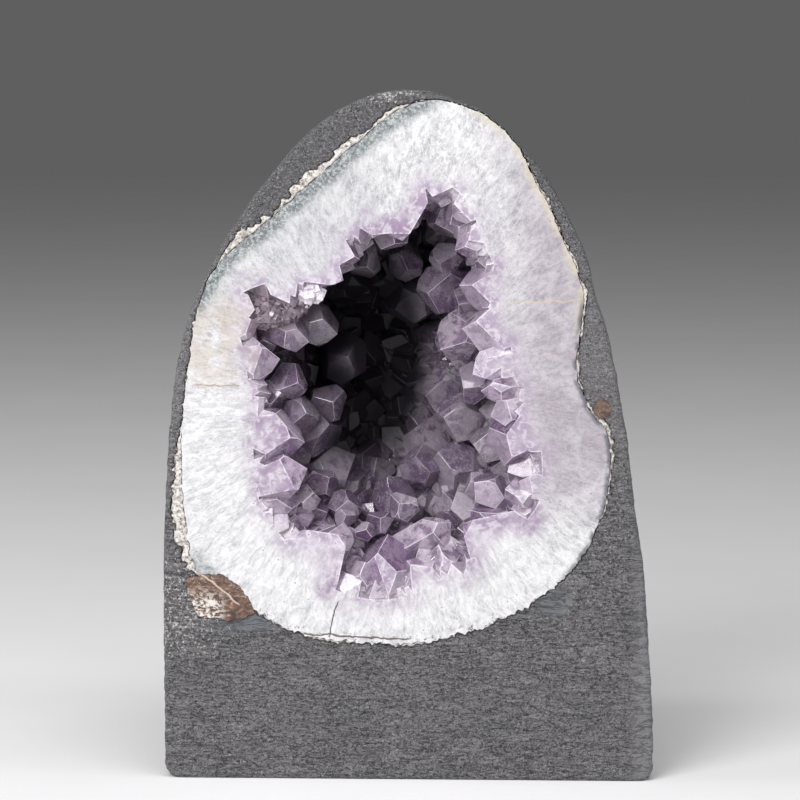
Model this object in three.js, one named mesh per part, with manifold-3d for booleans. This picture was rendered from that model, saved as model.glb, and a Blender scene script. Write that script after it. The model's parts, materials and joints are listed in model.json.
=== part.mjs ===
// An amethyst geode in a dark cement casing, cut flat at the front so that it stands as a little grotto.
// From the outside in: the casing with its flat foot, a chalky crust, the milky quartz rind, and the
// amethyst crystals that line the hollow. Millimetres, +Z up, the cut face towards -Y, and the origin
// under the middle of the whole piece, on the surface that it stands on.
import * as THREE from "three";
import { mergeVertices } from "three/addons/utils/BufferGeometryUtils.js";
import Module from "manifold-3d";

const wasm = await Module();
wasm.setup();

// Driving dimensions.
const DEPTH = 96; // from the cut face to the back of the casing
const HALF_WIDTH = 68; // of the foot
const CORNER = 3.5; // how far the casing's lower corners are rounded
const EDGE_ROUND = 1.6; // radius along the edge of the cut face
const CASING_ROUNDNESS = 2.6; // 2 would make the back half an ellipsoid, and more makes it boxier
const CASING_BACK = 0.12; // width of the flat spot at the very back, over the whole width
const CASING_LOOPS = [EDGE_ROUND / DEPTH, 0.28, 0.5, 0.68, 0.82, 0.92, 0.98]; // shares of the depth
const CRUST = { width: 1.8, depth: 6 };
const RIND = {
  depth: 74, centre: [-8, 106], roundness: 2.3, taper: 0.05, loops: [0.2, 0.45, 0.68, 0.86, 0.97],
};
const BED = 2.6; // thickness of the crystal crust between the points
const GAP = 0.3; // left between two pieces that lie against each other
const LEAD = 10; // how far a shape that is cut off at the face first stands out in front of it
const SEGMENTS = 36; // round the casing's arch, and round the rind and the hollow

// The hollow: how deep it goes behind the middle of its mouth, the power that curves its wall, and the
// shares of its depth at which a loop stands. The power is the slope's, and more towards the steepest
// side, an angle in degrees up from +X.
const HOLLOW = {
  depth: 62, centre: [-8, 115], steepest: 110, slope: 1.15, steepen: 1.8, loops: [0.2, 0.45, 0.7, 0.88, 0.98],
};
const CRYSTALS_POINT_TO = 4; // how far behind the face the point lies that the crystals grow towards

// Outlines in the cut face, as [x, z], clockwise from the lower left.
const CASING_OUTLINE = [
  [-HALF_WIDTH, CORNER], [-68, 40], [-67.8, 72], [-65.5, 100], [-61, 126], [-52.5, 146], [-38.5, 166.5],
  [-22, 182.5], [-2, 190], [19, 185.5], [33.5, 172.5], [45, 152], [53, 129], [59.5, 98],
  [64, 64], [67, 30], [HALF_WIDTH, CORNER],
];
const CRUST_OUTLINE = [
  [6, 187], [16, 185.5], [24, 181.5], [30.5, 173.5], [42, 149.5], [46.8, 136], [46, 117], [48, 107],
  [55, 98], [55.5, 90], [53, 75], [46, 59.5], [34, 49.5], [18, 42], [-2, 38], [-28, 39.5],
  [-52, 47], [-62.5, 60], [-64.5, 80], [-63, 102], [-59, 126], [-53.5, 142.5], [-37, 158.5], [-8, 184],
];
const MOUTH_OUTLINE = [
  [8, 167], [19, 159], [27, 143], [30, 122], [32, 102], [35.5, 85], [32, 69], [21, 57], [4, 50],
  [-17, 46.5], [-31, 56], [-42, 73], [-45.5, 90], [-47.5, 107], [-48.5, 125], [-42, 138], [-29, 147],
  [-15, 155], [-3, 162],
];

// Crystals that stand out, placed by hand: the tip as [x, z] seen from the front, the height above the
// wall, and the radius. One whose side stands in front of the cut face is sliced off with it.
const LARGE_CRYSTALS = [
  // along the top and down the right
  { tip: [-1, 149], height: 18, radius: 8.2 }, { tip: [8, 153], height: 11, radius: 5.6 },
  { tip: [12, 146.5], height: 12, radius: 5.2 }, { tip: [15, 137], height: 15, radius: 7.4 },
  { tip: [5.5, 134], height: 13, radius: 7.2 }, { tip: [16, 124], height: 15, radius: 7.6 },
  { tip: [9, 119], height: 14, radius: 7.2 }, { tip: [18.5, 112.5], height: 14, radius: 5.2 },
  { tip: [21, 104], height: 13, radius: 6 }, { tip: [26, 93], height: 13, radius: 7.6 },
  { tip: [20.5, 81], height: 13, radius: 7.2 },
  // along the floor, from the right to the left
  { tip: [15.5, 70], height: 17, radius: 10.6 }, { tip: [15.5, 83], height: 10, radius: 5 },
  { tip: [1.5, 87], height: 13, radius: 6.2 }, { tip: [8, 92], height: 11, radius: 7.2 },
  { tip: [0, 97], height: 11, radius: 7.2 }, { tip: [-7, 83], height: 11, radius: 6.6 },
  { tip: [-2, 76.5], height: 12, radius: 5 }, { tip: [9, 70], height: 11, radius: 5.4 },
  { tip: [8, 63], height: 10, radius: 5.6 }, { tip: [-5, 66], height: 13, radius: 8.2 },
  { tip: [-17.5, 66], height: 16, radius: 9.2 }, { tip: [-17, 76], height: 10, radius: 4.8 },
  // up the left
  { tip: [-25, 79], height: 10, radius: 5 }, { tip: [-16.5, 88], height: 13, radius: 6.2 },
  { tip: [-31, 87], height: 13, radius: 5.8 }, { tip: [-35, 95], height: 11, radius: 6.4 },
  { tip: [-23.5, 97], height: 12, radius: 6.8 }, { tip: [-23, 104.5], height: 12, radius: 5.6 },
  { tip: [-38, 118], height: 11, radius: 6.2 }, { tip: [-20, 124], height: 15, radius: 8 },
  { tip: [-19, 137.5], height: 11, radius: 5.6 }, { tip: [-6, 128], height: 11, radius: 5.6 },
];
// The rest are spread evenly over the hollow, in a spiral of seeds, wherever a large one's foot is at
// least a share of its radius away.
const SMALL_CRYSTALS = { count: 74, radius: [5.8, 8.2], height: [6, 10], lean: 0.25, clear: 0.7 };
const TIP_SHARE = 1.2; // height of a crystal's six-sided point over its radius
const CRYSTAL_ROOT = 9; // how far a crystal's foot reaches into the wall behind it
const FOOT_ROUNDS = 6; // steps in which the foot below a tip is found
const GOLDEN_ANGLE = Math.PI * (3 - Math.sqrt(5));

// The brown jasper at the lower left of the rim, its fleck on the right, and the calcite on the crystals.
const JASPER = { at: [-51, 52], size: [10.5, 6], turn: 35, depth: 6, seed: 11 };
const JASPER_FLECK = { at: [52.8, 103.4], size: [2.3, 2.9], turn: 20, depth: 3, seed: 12 };
const CALCITE = { at: [-27.2, 135], behind: 3, size: [4.6, 4.4, 4.8], seed: 13 };
const PEBBLE = { detail: 2, smallest: 0.9, uneven: 0.16 };

const PAINT = {
  casing: { color: 0x4d4e52, roughness: 0.9 },
  crust: { color: 0xd9d3c2, roughness: 0.95 },
  rind: { color: 0xe9e6ea, roughness: 0.3 },
  amethyst: { color: 0x7d6391, roughness: 0.15 },
  jasper: { color: 0x7c5a48, roughness: 0.5 },
  calcite: { color: 0xd8cbd8, roughness: 0.3 },
};

const degrees = THREE.MathUtils.degToRad;
const FACE_Y = -DEPTH / 2;
const FOOT_MIDDLE = [0, 0];

// A number from 0 to 1 that depends only on i and salt, so that each build is the same.
function scatter(i, salt) {
  const value = Math.sin(i * 12.9898 + salt * 78.233) * 43758.5453;
  return value - Math.floor(value);
}

const between = ([low, high], share) => low + (high - low) * share;

// Evenly spaced points on a smooth line through a list of [x, z].
function smoothLine(points, closed) {
  const corners = points.map(([x, z]) => new THREE.Vector3(x, 0, z));
  const line = new THREE.CatmullRomCurve3(corners, closed, "centripetal");
  return line.getSpacedPoints(SEGMENTS).slice(0, closed ? SEGMENTS : SEGMENTS + 1);
}

// The casing's loop: straight along the foot, rounded at the lower corners and smooth over the top.
function casingLoop() {
  const foot = new THREE.Path();
  foot.moveTo(HALF_WIDTH, CORNER);
  foot.quadraticCurveTo(HALF_WIDTH, 0, HALF_WIDTH - CORNER, 0);
  foot.lineTo(-HALF_WIDTH + CORNER, 0);
  foot.quadraticCurveTo(-HALF_WIDTH, 0, -HALF_WIDTH, CORNER);
  const under = foot.getPoints(3).slice(1, -1).map(({ x, y }) => new THREE.Vector3(x, 0, y));
  return [...smoothLine(CASING_OUTLINE, false), ...under];
}

// The loop moved outwards by a distance, in the plane of the face.
function grown(loop, distance) {
  const count = loop.length;
  return loop.map((point, i) => {
    const along = loop[(i + 1) % count].clone().sub(loop[(i + count - 1) % count]);
    const outwards = new THREE.Vector3(-along.z, 0, along.x).normalize();
    return point.clone().addScaledVector(outwards, distance);
  });
}

// The loop drawn in towards [x, z] and set at a place behind the cut face.
function drawnIn(loop, [x, z], share, behind) {
  return loop.map((point) => new THREE.Vector3(
    x + (point.x - x) * share, FACE_Y + behind, z + (point.z - z) * share,
  ));
}

// A closed surface through a row of loops, with each end closed onto its middle.
function loft(loops) {
  const count = loops[0].length;
  const middles = [loops[0], loops.at(-1)].map((loop) =>
    loop.reduce((sum, point) => sum.add(point), new THREE.Vector3()).divideScalar(count));
  const points = [...loops.flat(), ...middles];
  const first = loops.length * count;
  const last = (loops.length - 1) * count;
  const triangles = [];
  for (let i = 0; i < count; i++) {
    const next = (i + 1) % count;
    for (let row = 0; row < last; row += count)
      triangles.push(row + i, row + next, row + count + i, row + next, row + count + next, row + count + i);
    triangles.push(first, next, i, first + 1, last + i, last + next);
  }
  const geometry = new THREE.BufferGeometry().setFromPoints(points);
  geometry.setIndex(triangles);
  return geometry;
}

// A geometry as a solid that can be joined and cut.
function solid(geometry) {
  const plain = geometry.clone();
  for (const name of ["normal", "uv"]) plain.deleteAttribute(name);
  const merged = mergeVertices(plain, 1e-4);
  const made = new wasm.Manifold(new wasm.Mesh({
    numProp: 3,
    vertProperties: merged.attributes.position.array,
    triVerts: new Uint32Array(merged.index.array),
  }));
  if (made.volume() < 0) throw new Error("a surface faces inwards");
  return made;
}

function geometryOf(made) {
  const { numProp, numVert, vertProperties, triVerts } = made.getMesh();
  const positions = new Float32Array(numVert * 3);
  for (let i = 0; i < numVert; i++)
    positions.set(vertProperties.subarray(i * numProp, i * numProp + 3), i * 3);
  const geometry = new THREE.BufferGeometry();
  geometry.setAttribute("position", new THREE.BufferAttribute(positions, 3));
  geometry.setIndex(new THREE.BufferAttribute(triVerts, 1));
  geometry.computeVertexNormals();
  return geometry;
}

// How much of its width a rounded body keeps at a share of its depth.
const rounded = (share, power) => Math.max(0, 1 - share ** power) ** (1 / power);

// The casing's outside: a flat foot, a flat face with a rounded edge, and a back that curves down.
function casingBody() {
  const outline = casingLoop();
  const loops = [];
  for (const angle of [0, 45]) {
    const inset = EDGE_ROUND * (1 - Math.sin(degrees(angle)));
    const behind = EDGE_ROUND * (1 - Math.cos(degrees(angle)));
    const edge = grown(outline, -inset).map(({ x, z }, i) => new THREE.Vector3(x, 0, Math.min(z, outline[i].z)));
    loops.push(drawnIn(edge, FOOT_MIDDLE, 1, behind));
  }
  for (const share of CASING_LOOPS)
    loops.push(drawnIn(outline, FOOT_MIDDLE, rounded(share, CASING_ROUNDNESS), DEPTH * share));
  loops.push(drawnIn(outline, FOOT_MIDDLE, CASING_BACK, DEPTH));
  return solid(loft(loops));
}

// The geode's own outside, grown by a distance, from in front of the face to its rounded back.
function rindBody(distance) {
  const outline = grown(smoothLine(CRUST_OUTLINE, true), -CRUST.width - GAP + distance);
  const loops = [drawnIn(outline, RIND.centre, 1, -LEAD), drawnIn(outline, RIND.centre, 1, 0)];
  for (const share of RIND.loops) {
    const width = rounded(share, RIND.roundness) - RIND.taper * share;
    loops.push(drawnIn(outline, RIND.centre, width, RIND.depth * share + distance));
  }
  return solid(loft(loops));
}

const mouth = smoothLine(MOUTH_OUTLINE, true);

// The power that shapes the hollow's wall towards a direction: it falls away steeply at the top, and
// the floor and the sides rise as slopes.
function wallPower(x, z) {
  const [centreX, centreZ] = HOLLOW.centre;
  const turn = Math.atan2(z - centreZ, x - centreX) - degrees(HOLLOW.steepest);
  return HOLLOW.slope + HOLLOW.steepen * (0.5 + 0.5 * Math.cos(turn)) ** 2;
}

// The hollow as a solid, drawn in by a distance, from in front of the face to its deepest place.
function hollowBody(distance) {
  const outline = grown(mouth, -distance);
  const [centreX, centreZ] = HOLLOW.centre;
  const depth = HOLLOW.depth - distance;
  const loops = [drawnIn(outline, HOLLOW.centre, 1, -LEAD), drawnIn(outline, HOLLOW.centre, 1, 0)];
  for (const share of HOLLOW.loops)
    loops.push(outline.map(({ x, z }) => {
      const width = rounded(share, wallPower(x, z));
      return new THREE.Vector3(
        centreX + (x - centreX) * width, FACE_Y + depth * share, centreZ + (z - centreZ) * width,
      );
    }));
  return solid(loft(loops));
}

// The point of the hollow's wall that is seen at [x, z] from the front.
function wallPoint([x, z]) {
  const [centreX, centreZ] = HOLLOW.centre;
  const angle = Math.atan2(z - centreZ, x - centreX);
  const reach = mouthReach(angle);
  const share = Math.min(1, Math.hypot(x - centreX, z - centreZ) / reach);
  return new THREE.Vector3(x, FACE_Y + HOLLOW.depth * rounded(share, wallPower(x, z)), z);
}

// How far the mouth's edge lies from the hollow's centre line at an angle.
function mouthReach(angle) {
  const [centreX, centreZ] = HOLLOW.centre;
  const turns = mouth.map(({ x, z }) => {
    const off = Math.atan2(z - centreZ, x - centreX) - angle;
    const reach = Math.hypot(x - centreX, z - centreZ);
    return { off: Math.abs(Math.atan2(Math.sin(off), Math.cos(off))), reach };
  });
  turns.sort((a, b) => a.off - b.off);
  const [near, far] = turns;
  return (near.reach * far.off + far.reach * near.off) / (near.off + far.off);
}

// The direction in which a crystal grows at a point of the wall: towards the middle of the hollow.
function inwards(point) {
  const [centreX, centreZ] = HOLLOW.centre;
  return new THREE.Vector3(centreX, FACE_Y + CRYSTALS_POINT_TO, centreZ).sub(point).normalize();
}

// A six-sided crystal with a point, standing at a foot on the wall, along an axis.
function crystal(foot, axis, height, radius, turn) {
  const shoulder = height - radius * TIP_SHARE;
  const profile = [[0, -CRYSTAL_ROOT], [radius, -CRYSTAL_ROOT], [radius, shoulder], [0, height]]
    .map(([width, along]) => new THREE.Vector2(width, along));
  const geometry = new THREE.LatheGeometry(profile, 6);
  geometry.rotateY(turn);
  const upright = new THREE.Vector3(0, 1, 0);
  geometry.applyQuaternion(new THREE.Quaternion().setFromUnitVectors(upright, axis));
  return geometry.translate(foot.x, foot.y, foot.z);
}

// The place on the wall from which a crystal of this height brings its tip to [x, z].
function footBelow([x, z], height) {
  let foot = wallPoint([x, z]);
  for (let round = 0; round < FOOT_ROUNDS; round++) {
    const axis = inwards(foot);
    foot = wallPoint([x - axis.x * height, z - axis.z * height]);
  }
  return foot;
}

function largeCrystals() {
  return LARGE_CRYSTALS.map(({ tip, height, radius }, i) => {
    const foot = footBelow(tip, height);
    return crystal(foot, inwards(foot), height, radius, scatter(i, 1) * Math.PI);
  });
}

// True where a large crystal already stands.
function isTaken(place) {
  return LARGE_CRYSTALS.some(({ tip, height, radius }) =>
    footBelow(tip, height).distanceTo(place) < radius * SMALL_CRYSTALS.clear);
}

function smallCrystals() {
  const { count, radius, height, lean } = SMALL_CRYSTALS;
  const [centreX, centreZ] = HOLLOW.centre;
  const made = [];
  for (let i = 0; i < count; i++) {
    const angle = i * GOLDEN_ANGLE;
    const [x, z] = [Math.cos(angle), Math.sin(angle)];
    const away = mouthReach(angle) * rounded((i + 0.5) / count, wallPower(centreX + x, centreZ + z));
    const foot = wallPoint([centreX + away * x, centreZ + away * z]);
    if (isTaken(foot)) continue;
    const sway = new THREE.Vector3(scatter(i, 2) - 0.5, scatter(i, 3) - 0.5, scatter(i, 4) - 0.5);
    const axis = inwards(foot).addScaledVector(sway, 2 * lean).normalize();
    const size = between(radius, scatter(i, 6));
    made.push(crystal(foot, axis, between(height, scatter(i, 5)), size, scatter(i, 7) * Math.PI));
  }
  return made;
}

// An uneven pebble: a sphere of few faces, pushed in and out a little.
function pebble(size, turn, seed) {
  const sphere = new THREE.IcosahedronGeometry(1, PEBBLE.detail);
  const geometry = mergeVertices(sphere.deleteAttribute("normal").deleteAttribute("uv"));
  const place = geometry.attributes.position;
  const point = new THREE.Vector3();
  for (let i = 0; i < place.count; i++) {
    point.fromBufferAttribute(place, i).multiplyScalar(PEBBLE.smallest + PEBBLE.uneven * scatter(i, seed));
    place.setXYZ(i, point.x, point.y, point.z);
  }
  geometry.scale(...size);
  geometry.rotateY(degrees(turn));
  return geometry;
}

// A mineral pebble that lies half behind the cut face, grown by a distance.
function facePebble({ at: [x, z], size: [width, height], turn, depth, seed }, distance) {
  const geometry = pebble([width + distance, depth + distance, height + distance], turn, seed);
  return solid(geometry.translate(x, FACE_Y, z));
}

// The calcite crystal that sits on the amethyst, grown by a distance.
function calciteBody(distance) {
  const { at: [x, z], behind, size, seed } = CALCITE;
  const geometry = pebble(size.map((half) => half + distance), 0, seed);
  return solid(geometry.translate(x, FACE_Y + behind, z));
}

// All the space in front of the cut face.
const space = new THREE.BoxGeometry(4 * HALF_WIDTH, DEPTH, 8 * HALF_WIDTH);
const inFront = solid(space.translate(0, FACE_Y - DEPTH / 2, 0));

const jasper = facePebble(JASPER, 0).subtract(inFront);
const jasperRoom = facePebble(JASPER, GAP);
const fleck = facePebble(JASPER_FLECK, 0).subtract(inFront);
const fleckRoom = facePebble(JASPER_FLECK, GAP);

const crustRim = smoothLine(CRUST_OUTLINE, true);
const crustRoom = solid(loft([-LEAD, CRUST.depth + GAP].map((behind) =>
  drawnIn(grown(crustRim, GAP), RIND.centre, 1, behind))));
const crustOutside = solid(loft([0, CRUST.depth].map((behind) => drawnIn(crustRim, RIND.centre, 1, behind))));
const crust = crustOutside.subtract(rindBody(GAP)).subtract(jasperRoom).subtract(fleckRoom);

const casing = casingBody()
  .subtract(rindBody(GAP))
  .subtract(crustRoom)
  .subtract(jasperRoom)
  .subtract(fleckRoom);

const rind = rindBody(0).subtract(hollowBody(0)).subtract(jasperRoom).subtract(inFront);

const bed = hollowBody(GAP).subtract(hollowBody(GAP + BED));
const points = wasm.Manifold.union([...largeCrystals(), ...smallCrystals()].map(solid));
const lining = bed.add(points).intersect(hollowBody(GAP)).subtract(inFront);
const amethyst = lining.subtract(calciteBody(GAP));
const calcite = calciteBody(0).intersect(hollowBody(2 * GAP)).subtract(inFront);

const geode = new THREE.Group();
const pieces = [
  ["cement_casing", casing, PAINT.casing],
  ["chalky_crust", crust, PAINT.crust],
  ["quartz_rind", rind, PAINT.rind],
  ["amethyst_crystals", amethyst, PAINT.amethyst],
  ["calcite_crystal", calcite, PAINT.calcite],
  ["jasper_patch", jasper, PAINT.jasper],
  ["jasper_fleck", fleck, PAINT.jasper],
];
for (const [name, made, paint] of pieces) {
  const mesh = new THREE.Mesh(geometryOf(made), new THREE.MeshStandardMaterial(paint));
  mesh.name = name;
  geode.add(mesh);
}

export default geode;
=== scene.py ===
"""The looks of an amethyst geode in a dark cement casing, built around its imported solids.

Shapes are worked out in millimetres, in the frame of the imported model: +X right, +Z up, and the sawn
face towards -Y. finished() turns each into a piece in metres. "Behind" is a distance behind the sawn
face, and a loop is an array of [x, z] points in that face, clockwise as seen from the front.
"""

import json
import math
import random

import bmesh
import bpy
import numpy as np
from mathutils import Matrix, Vector, kdtree, noise

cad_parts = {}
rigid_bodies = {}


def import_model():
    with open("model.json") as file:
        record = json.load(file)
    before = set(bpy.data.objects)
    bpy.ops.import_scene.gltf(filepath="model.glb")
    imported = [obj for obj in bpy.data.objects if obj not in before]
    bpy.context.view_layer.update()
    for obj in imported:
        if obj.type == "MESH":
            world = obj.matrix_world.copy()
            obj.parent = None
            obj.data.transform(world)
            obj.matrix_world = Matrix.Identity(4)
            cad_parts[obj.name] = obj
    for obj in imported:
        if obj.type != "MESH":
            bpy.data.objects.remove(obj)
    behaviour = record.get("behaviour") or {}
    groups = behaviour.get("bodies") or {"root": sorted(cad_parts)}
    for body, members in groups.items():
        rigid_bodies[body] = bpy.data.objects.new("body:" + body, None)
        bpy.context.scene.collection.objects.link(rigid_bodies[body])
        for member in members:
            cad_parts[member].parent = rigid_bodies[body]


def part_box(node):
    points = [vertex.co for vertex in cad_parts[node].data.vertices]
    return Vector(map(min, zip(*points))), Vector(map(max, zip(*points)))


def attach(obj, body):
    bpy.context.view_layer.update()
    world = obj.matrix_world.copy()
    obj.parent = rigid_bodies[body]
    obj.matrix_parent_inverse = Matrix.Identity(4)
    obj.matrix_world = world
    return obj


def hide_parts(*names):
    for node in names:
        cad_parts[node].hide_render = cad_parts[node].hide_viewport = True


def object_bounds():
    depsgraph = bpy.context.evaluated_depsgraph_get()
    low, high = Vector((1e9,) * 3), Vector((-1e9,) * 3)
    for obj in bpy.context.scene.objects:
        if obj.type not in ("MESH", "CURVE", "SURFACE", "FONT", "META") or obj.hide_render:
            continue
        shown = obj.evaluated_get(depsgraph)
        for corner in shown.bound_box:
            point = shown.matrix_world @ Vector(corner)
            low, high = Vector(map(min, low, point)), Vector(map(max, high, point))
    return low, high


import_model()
cad_low, cad_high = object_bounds()

# ---- sizes -----------------------------------------------------------------------------------------

MM = 0.001
FACE = cad_low.y / MM
DEPTH = (cad_high.y - cad_low.y) / MM
HALF_WIDTH = cad_high.x / MM
TOP = cad_high.z / MM
LEAD = 10  # how far a shape that the face cuts off first stands out in front of it

CORNER = 3.5
EDGE_ROUND = 1.6
CASING = {"roundness": 2.6, "flat_back": 0.12, "voxel": 0.98}
POCKET_GAP = 0.12
WALL_LEAST = 1.9  # the casing's thickness where it is thinnest, outside the seam
CRUST_DEPTH = 6
RIND = {"depth": 74, "centre": (-8, 106), "roundness": 2.3, "taper": 0.05}
HOLLOW = {"depth": 62, "centre": (-8, 115), "steepest": 110, "slope": 1.15, "steepen": 1.8}
RIND_SHARES = (0.2, 0.45, 0.68, 0.86, 0.97)  # of its depth, where its loft has rows
BED = 2.6  # the thickness of the amethyst that the crystals grow out of
FIT = 0.05  # the gap between pieces that touch
BED_GAP = 0.01  # how far the bed stops short of the rind
# The chalky seam: how far behind the face its outer and inner edges start, and its least width.
SEAM = {"outer": 0.35, "inner": 0.25, "voxel": 0.42, "least": 0.12}
# How deep the casing's grains, lumps and ripples go, and the height where its plain foot ends.
WEATHER = {"grain": 0.13, "lump": 0.22, "ripple": 0.3, "foot": 0.6}
SAWN_GRID = 0.7  # spacing of the points that carry the sawn face's colours
# The low and high corners of the slabs that saw the pieces flat.
SAWN_AREAS = {
    "rind": ((-66, 34), (60, 190)),
    "druse": ((-56, 40), (44, 172)),
    "jasper": ((-66, 40), (-34, 64)),
    "fleck": ((46, 96), (60, 110)),
}

CASING_EDGE = [
    (-68, 5), (-68, 40), (-67.7, 63), (-67, 80), (-65.2, 103), (-63, 118), (-59.4, 131), (-53.5, 143.5),
    (-46, 156), (-37.4, 167.3), (-28, 178), (-18.5, 185), (-8.6, 189), (0, 189.9), (8, 189), (20.8, 183.9),
    (29.5, 176), (36.9, 167.3), (43.3, 156), (48.5, 145), (51.2, 134), (54.6, 122.9), (57.4, 109),
    (59.9, 95), (62, 77), (64.6, 60), (66.2, 40), (67.4, 22), (68, 5),
]
RIND_EDGE = [
    (5.8, 187), (14.1, 185.6), (22.5, 181.6), (29.4, 174.4), (33.6, 166.4), (37.7, 158.9), (41.3, 150.6),
    (44.7, 143.1), (47.2, 135), (46.8, 126), (45.6, 118), (46, 111), (49.5, 103), (54, 97), (54.8, 90),
    (54, 80), (51.5, 71), (47, 62), (40, 54.5), (31, 48), (22.5, 44), (13, 40.5), (2, 38.5), (-9, 38.2),
    (-20, 39.2), (-30, 41), (-38, 45), (-45, 49), (-53, 54), (-59, 60.5), (-61, 72), (-62, 85),
    (-61.8, 98), (-60.3, 112), (-58.6, 124), (-55.8, 135), (-51.5, 142.6), (-43.5, 150), (-30, 161.5),
    (-15, 174.5), (-4, 183.5),
]
WALL_EDGE = [
    (6, 165.5), (14, 161.8), (18.5, 154), (21.5, 146), (24.5, 139), (26.8, 127), (28.5, 117), (32.5, 106),
    (35.4, 97), (36.4, 87), (35.6, 78), (30, 70), (21, 60.6), (12, 56.4), (3, 53.3), (-4, 50.8), (-12, 50.8),
    (-20, 53.2), (-27, 57.5), (-33, 66), (-39.5, 74), (-41.8, 84), (-42.6, 95), (-43.4, 107),
    (-44.6, 118), (-47, 127), (-46.5, 133.5), (-40, 137), (-30.5, 139), (-23, 144), (-17.5, 151),
    (-9.5, 155), (-2, 158.5),
]
JASPER_EDGE = [
    (-61, 55.6), (-56, 57.2), (-51.2, 57), (-47, 54.2), (-43.9, 50.3), (-42.3, 46.8), (-45.1, 45.4),
    (-49, 44.3), (-53, 45.2), (-57.4, 45.4), (-60, 50.3),
]
# The chalky seam's width at turns round the rind's centre, in degrees up from +X, anticlockwise.
SEAM_WIDTH = [
    (-180, 0.3), (-168, 0.6), (-160, 2.2), (-150, 2.8), (-140, 2.2), (-131, 0.5), (-110, 0.4), (-85, 0.6),
    (-60, 0.25), (-40, 0.3), (-20, 0.6), (-8, 1.5), (0, 0.6), (12, 0.9), (25, 0.8), (45, 0.7), (65, 0.6),
    (85, 0.7), (98, 1.7), (112, 2.3), (130, 2.6), (143, 2.1), (152, 0.7), (165, 0.3), (180, 0.3),
]

# Crystals that stand out: the tip's x, z and distance behind the face, the radius, and where the root
# doesn't lie straight below on the wall, its x, z and distance behind too.
HERO_CRYSTALS = [
    # hanging from the top and down the right
    ((8.3, 160.3, 5), 2.6),
    ((7.5, 153, 9), 5.4),
    ((12.5, 156, 8), 4.8),
    ((12.8, 146.5, 4), 4.8, (24, 151, 6)),
    ((8.3, 142, 15), 4.4),
    ((5.6, 133.5, 13), 7.0),
    ((14.6, 137, 1.8), 7.2, (32, 136, 3)),
    ((13.5, 131, 11), 4.6),
    ((15.2, 124.5, 2.2), 7.0, (33, 126, 3)),
    ((8.4, 118.6, 10), 7.2, (24, 127, 22)),
    ((17.5, 113, 2), 4.4, (30, 118, 4)),
    ((20, 107.8, 2.5), 3.6, (31, 110, 5)),
    ((22.5, 101.5, 3), 4.4, (33, 104, 6)),
    ((15, 108, 9), 5.2),
    ((26.5, 88, 1.6), 7.4, (34, 103, 4)),
    ((18, 82, 4.5), 5.2, (27, 75, 15)),
    ((17.5, 92, 11), 5.6),
    # along the floor, from the right to the left
    ((16.9, 82, 8), 3.8),
    ((1.4, 87.5, 16), 6.0),
    ((8, 89, 18), 6.8),
    ((1.5, 95, 25), 6.8),
    ((-6.5, 81, 20), 6.2),
    ((-9.5, 86, 27), 5.0),
    ((-2.5, 76, 7), 4.4),
    ((-8.2, 71.6, 9), 3.6),
    ((11.2, 71, 6.5), 4.8, (-1, 63.5, 9)),
    ((8.2, 65.4, 3), 4.6),
    ((16.5, 63.6, 2), 4.8, (20, 52, 4)),
    ((-5.3, 67.6, 4), 8.0, (-6, 50, 8)),
    ((-11.8, 69, 6), 2.8),
    ((3, 64.5, 5), 3.4),
    ((-17, 76.5, 11), 4.2),
    ((-17.6, 72.5, 9), 2.8),
    ((-26.5, 78.5, 8), 3.8),
    ((-22.5, 82.5, 12), 4.2),
    # up the left
    ((-15.5, 87.5, 20), 6.2, (-27, 80, 26)),
    ((-22.5, 97, 12), 6.6),
    ((-28.5, 101, 6), 5.2),
    ((-21.4, 104, 10), 5.2),
    ((-29.2, 93.5, 0.8), 6.6, (-44, 97, 2)),
    ((-37, 87.5, 0.6), 4.6, (-46, 86, 2)),
    ((-28.4, 86.5, 1.6), 5.8, (-42, 82, 3)),
    ((-35.5, 116.4, 2.2), 6.2, (-50, 116, 4)),
    ((-20, 122.5, 11), 5.6, (-33, 127, 19)),
    ((-27.5, 121, 6), 4.6, (-40, 126, 12)),
    ((-17, 115.5, 17), 6.4),
    ((-19.2, 138.3, 7), 5.2),
    ((-4.2, 148, 6), 4.8),
    ((-4.5, 127.5, 28), 5.4, (4, 131, 46)),
    ((-12, 141, 14), 4.6),
    ((-1, 139.5, 22), 4.4),
    ((-31, 110, 5), 5.4),
    ((4.5, 104, 20), 6.4),
    ((9.5, 98.5, 15), 6.2),
]
# Crystals that the saw went through, given in the same way.
CUT_CRYSTALS = [
    ((-1.2, 149.4, 1.5), 7.6, (-4, 167, 0.5)),
    ((15.6, 70.8, 1.0), 9.6, (38, 58, 3)),
    ((-17.3, 66.8, 1.2), 8.4, (-36, 54, 2)),
]
# How far behind the face the tip and the root of every other one lie at least, and how far a tip stands
# out of the wall where no root is given, in radii.
TIP_SINK = 0.55
ROOT_SINK = 0.95
TIP_RISE = 1.6
ROOT = 2  # how far a crystal goes on into the wall below its foot, in radii
# Rows of crystals round the opening: the spacing along it, the radii, how far the tips reach into the
# hollow, how far behind the face they end, and how much they turn to the front. For all of them: how long
# they are, in radii, and how far they tip over at random.
RIM_LENGTH = 4
RIM_LEAN = 0.25
RIM_ROWS = [
    {"spacing": 3.9, "radius": (1.9, 4.1), "reach": (1, 5), "behind": (0.4, 2.4), "front": (0.2, 1)},
    {"spacing": 5.4, "radius": (2.8, 5.2), "reach": (3.5, 8.5), "behind": (4.5, 9.5), "front": (0.3, 1.2)},
]
# The rest of the crystals, spread evenly over the hollow: how many, the radii and how much they favour
# small ones, how far they stand out in radii, how far they lean, how much room they leave round those
# listed one by one, and how far behind the face they end at least.
FILL = {
    "count": 780,
    "radius": (2.2, 5.6),
    "skew": 1.6,
    "height": (0.8, 1.7),
    "lean": 0.4,
    "clear": 0.62,
    "behind": (0.3, 2.5),
}
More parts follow.
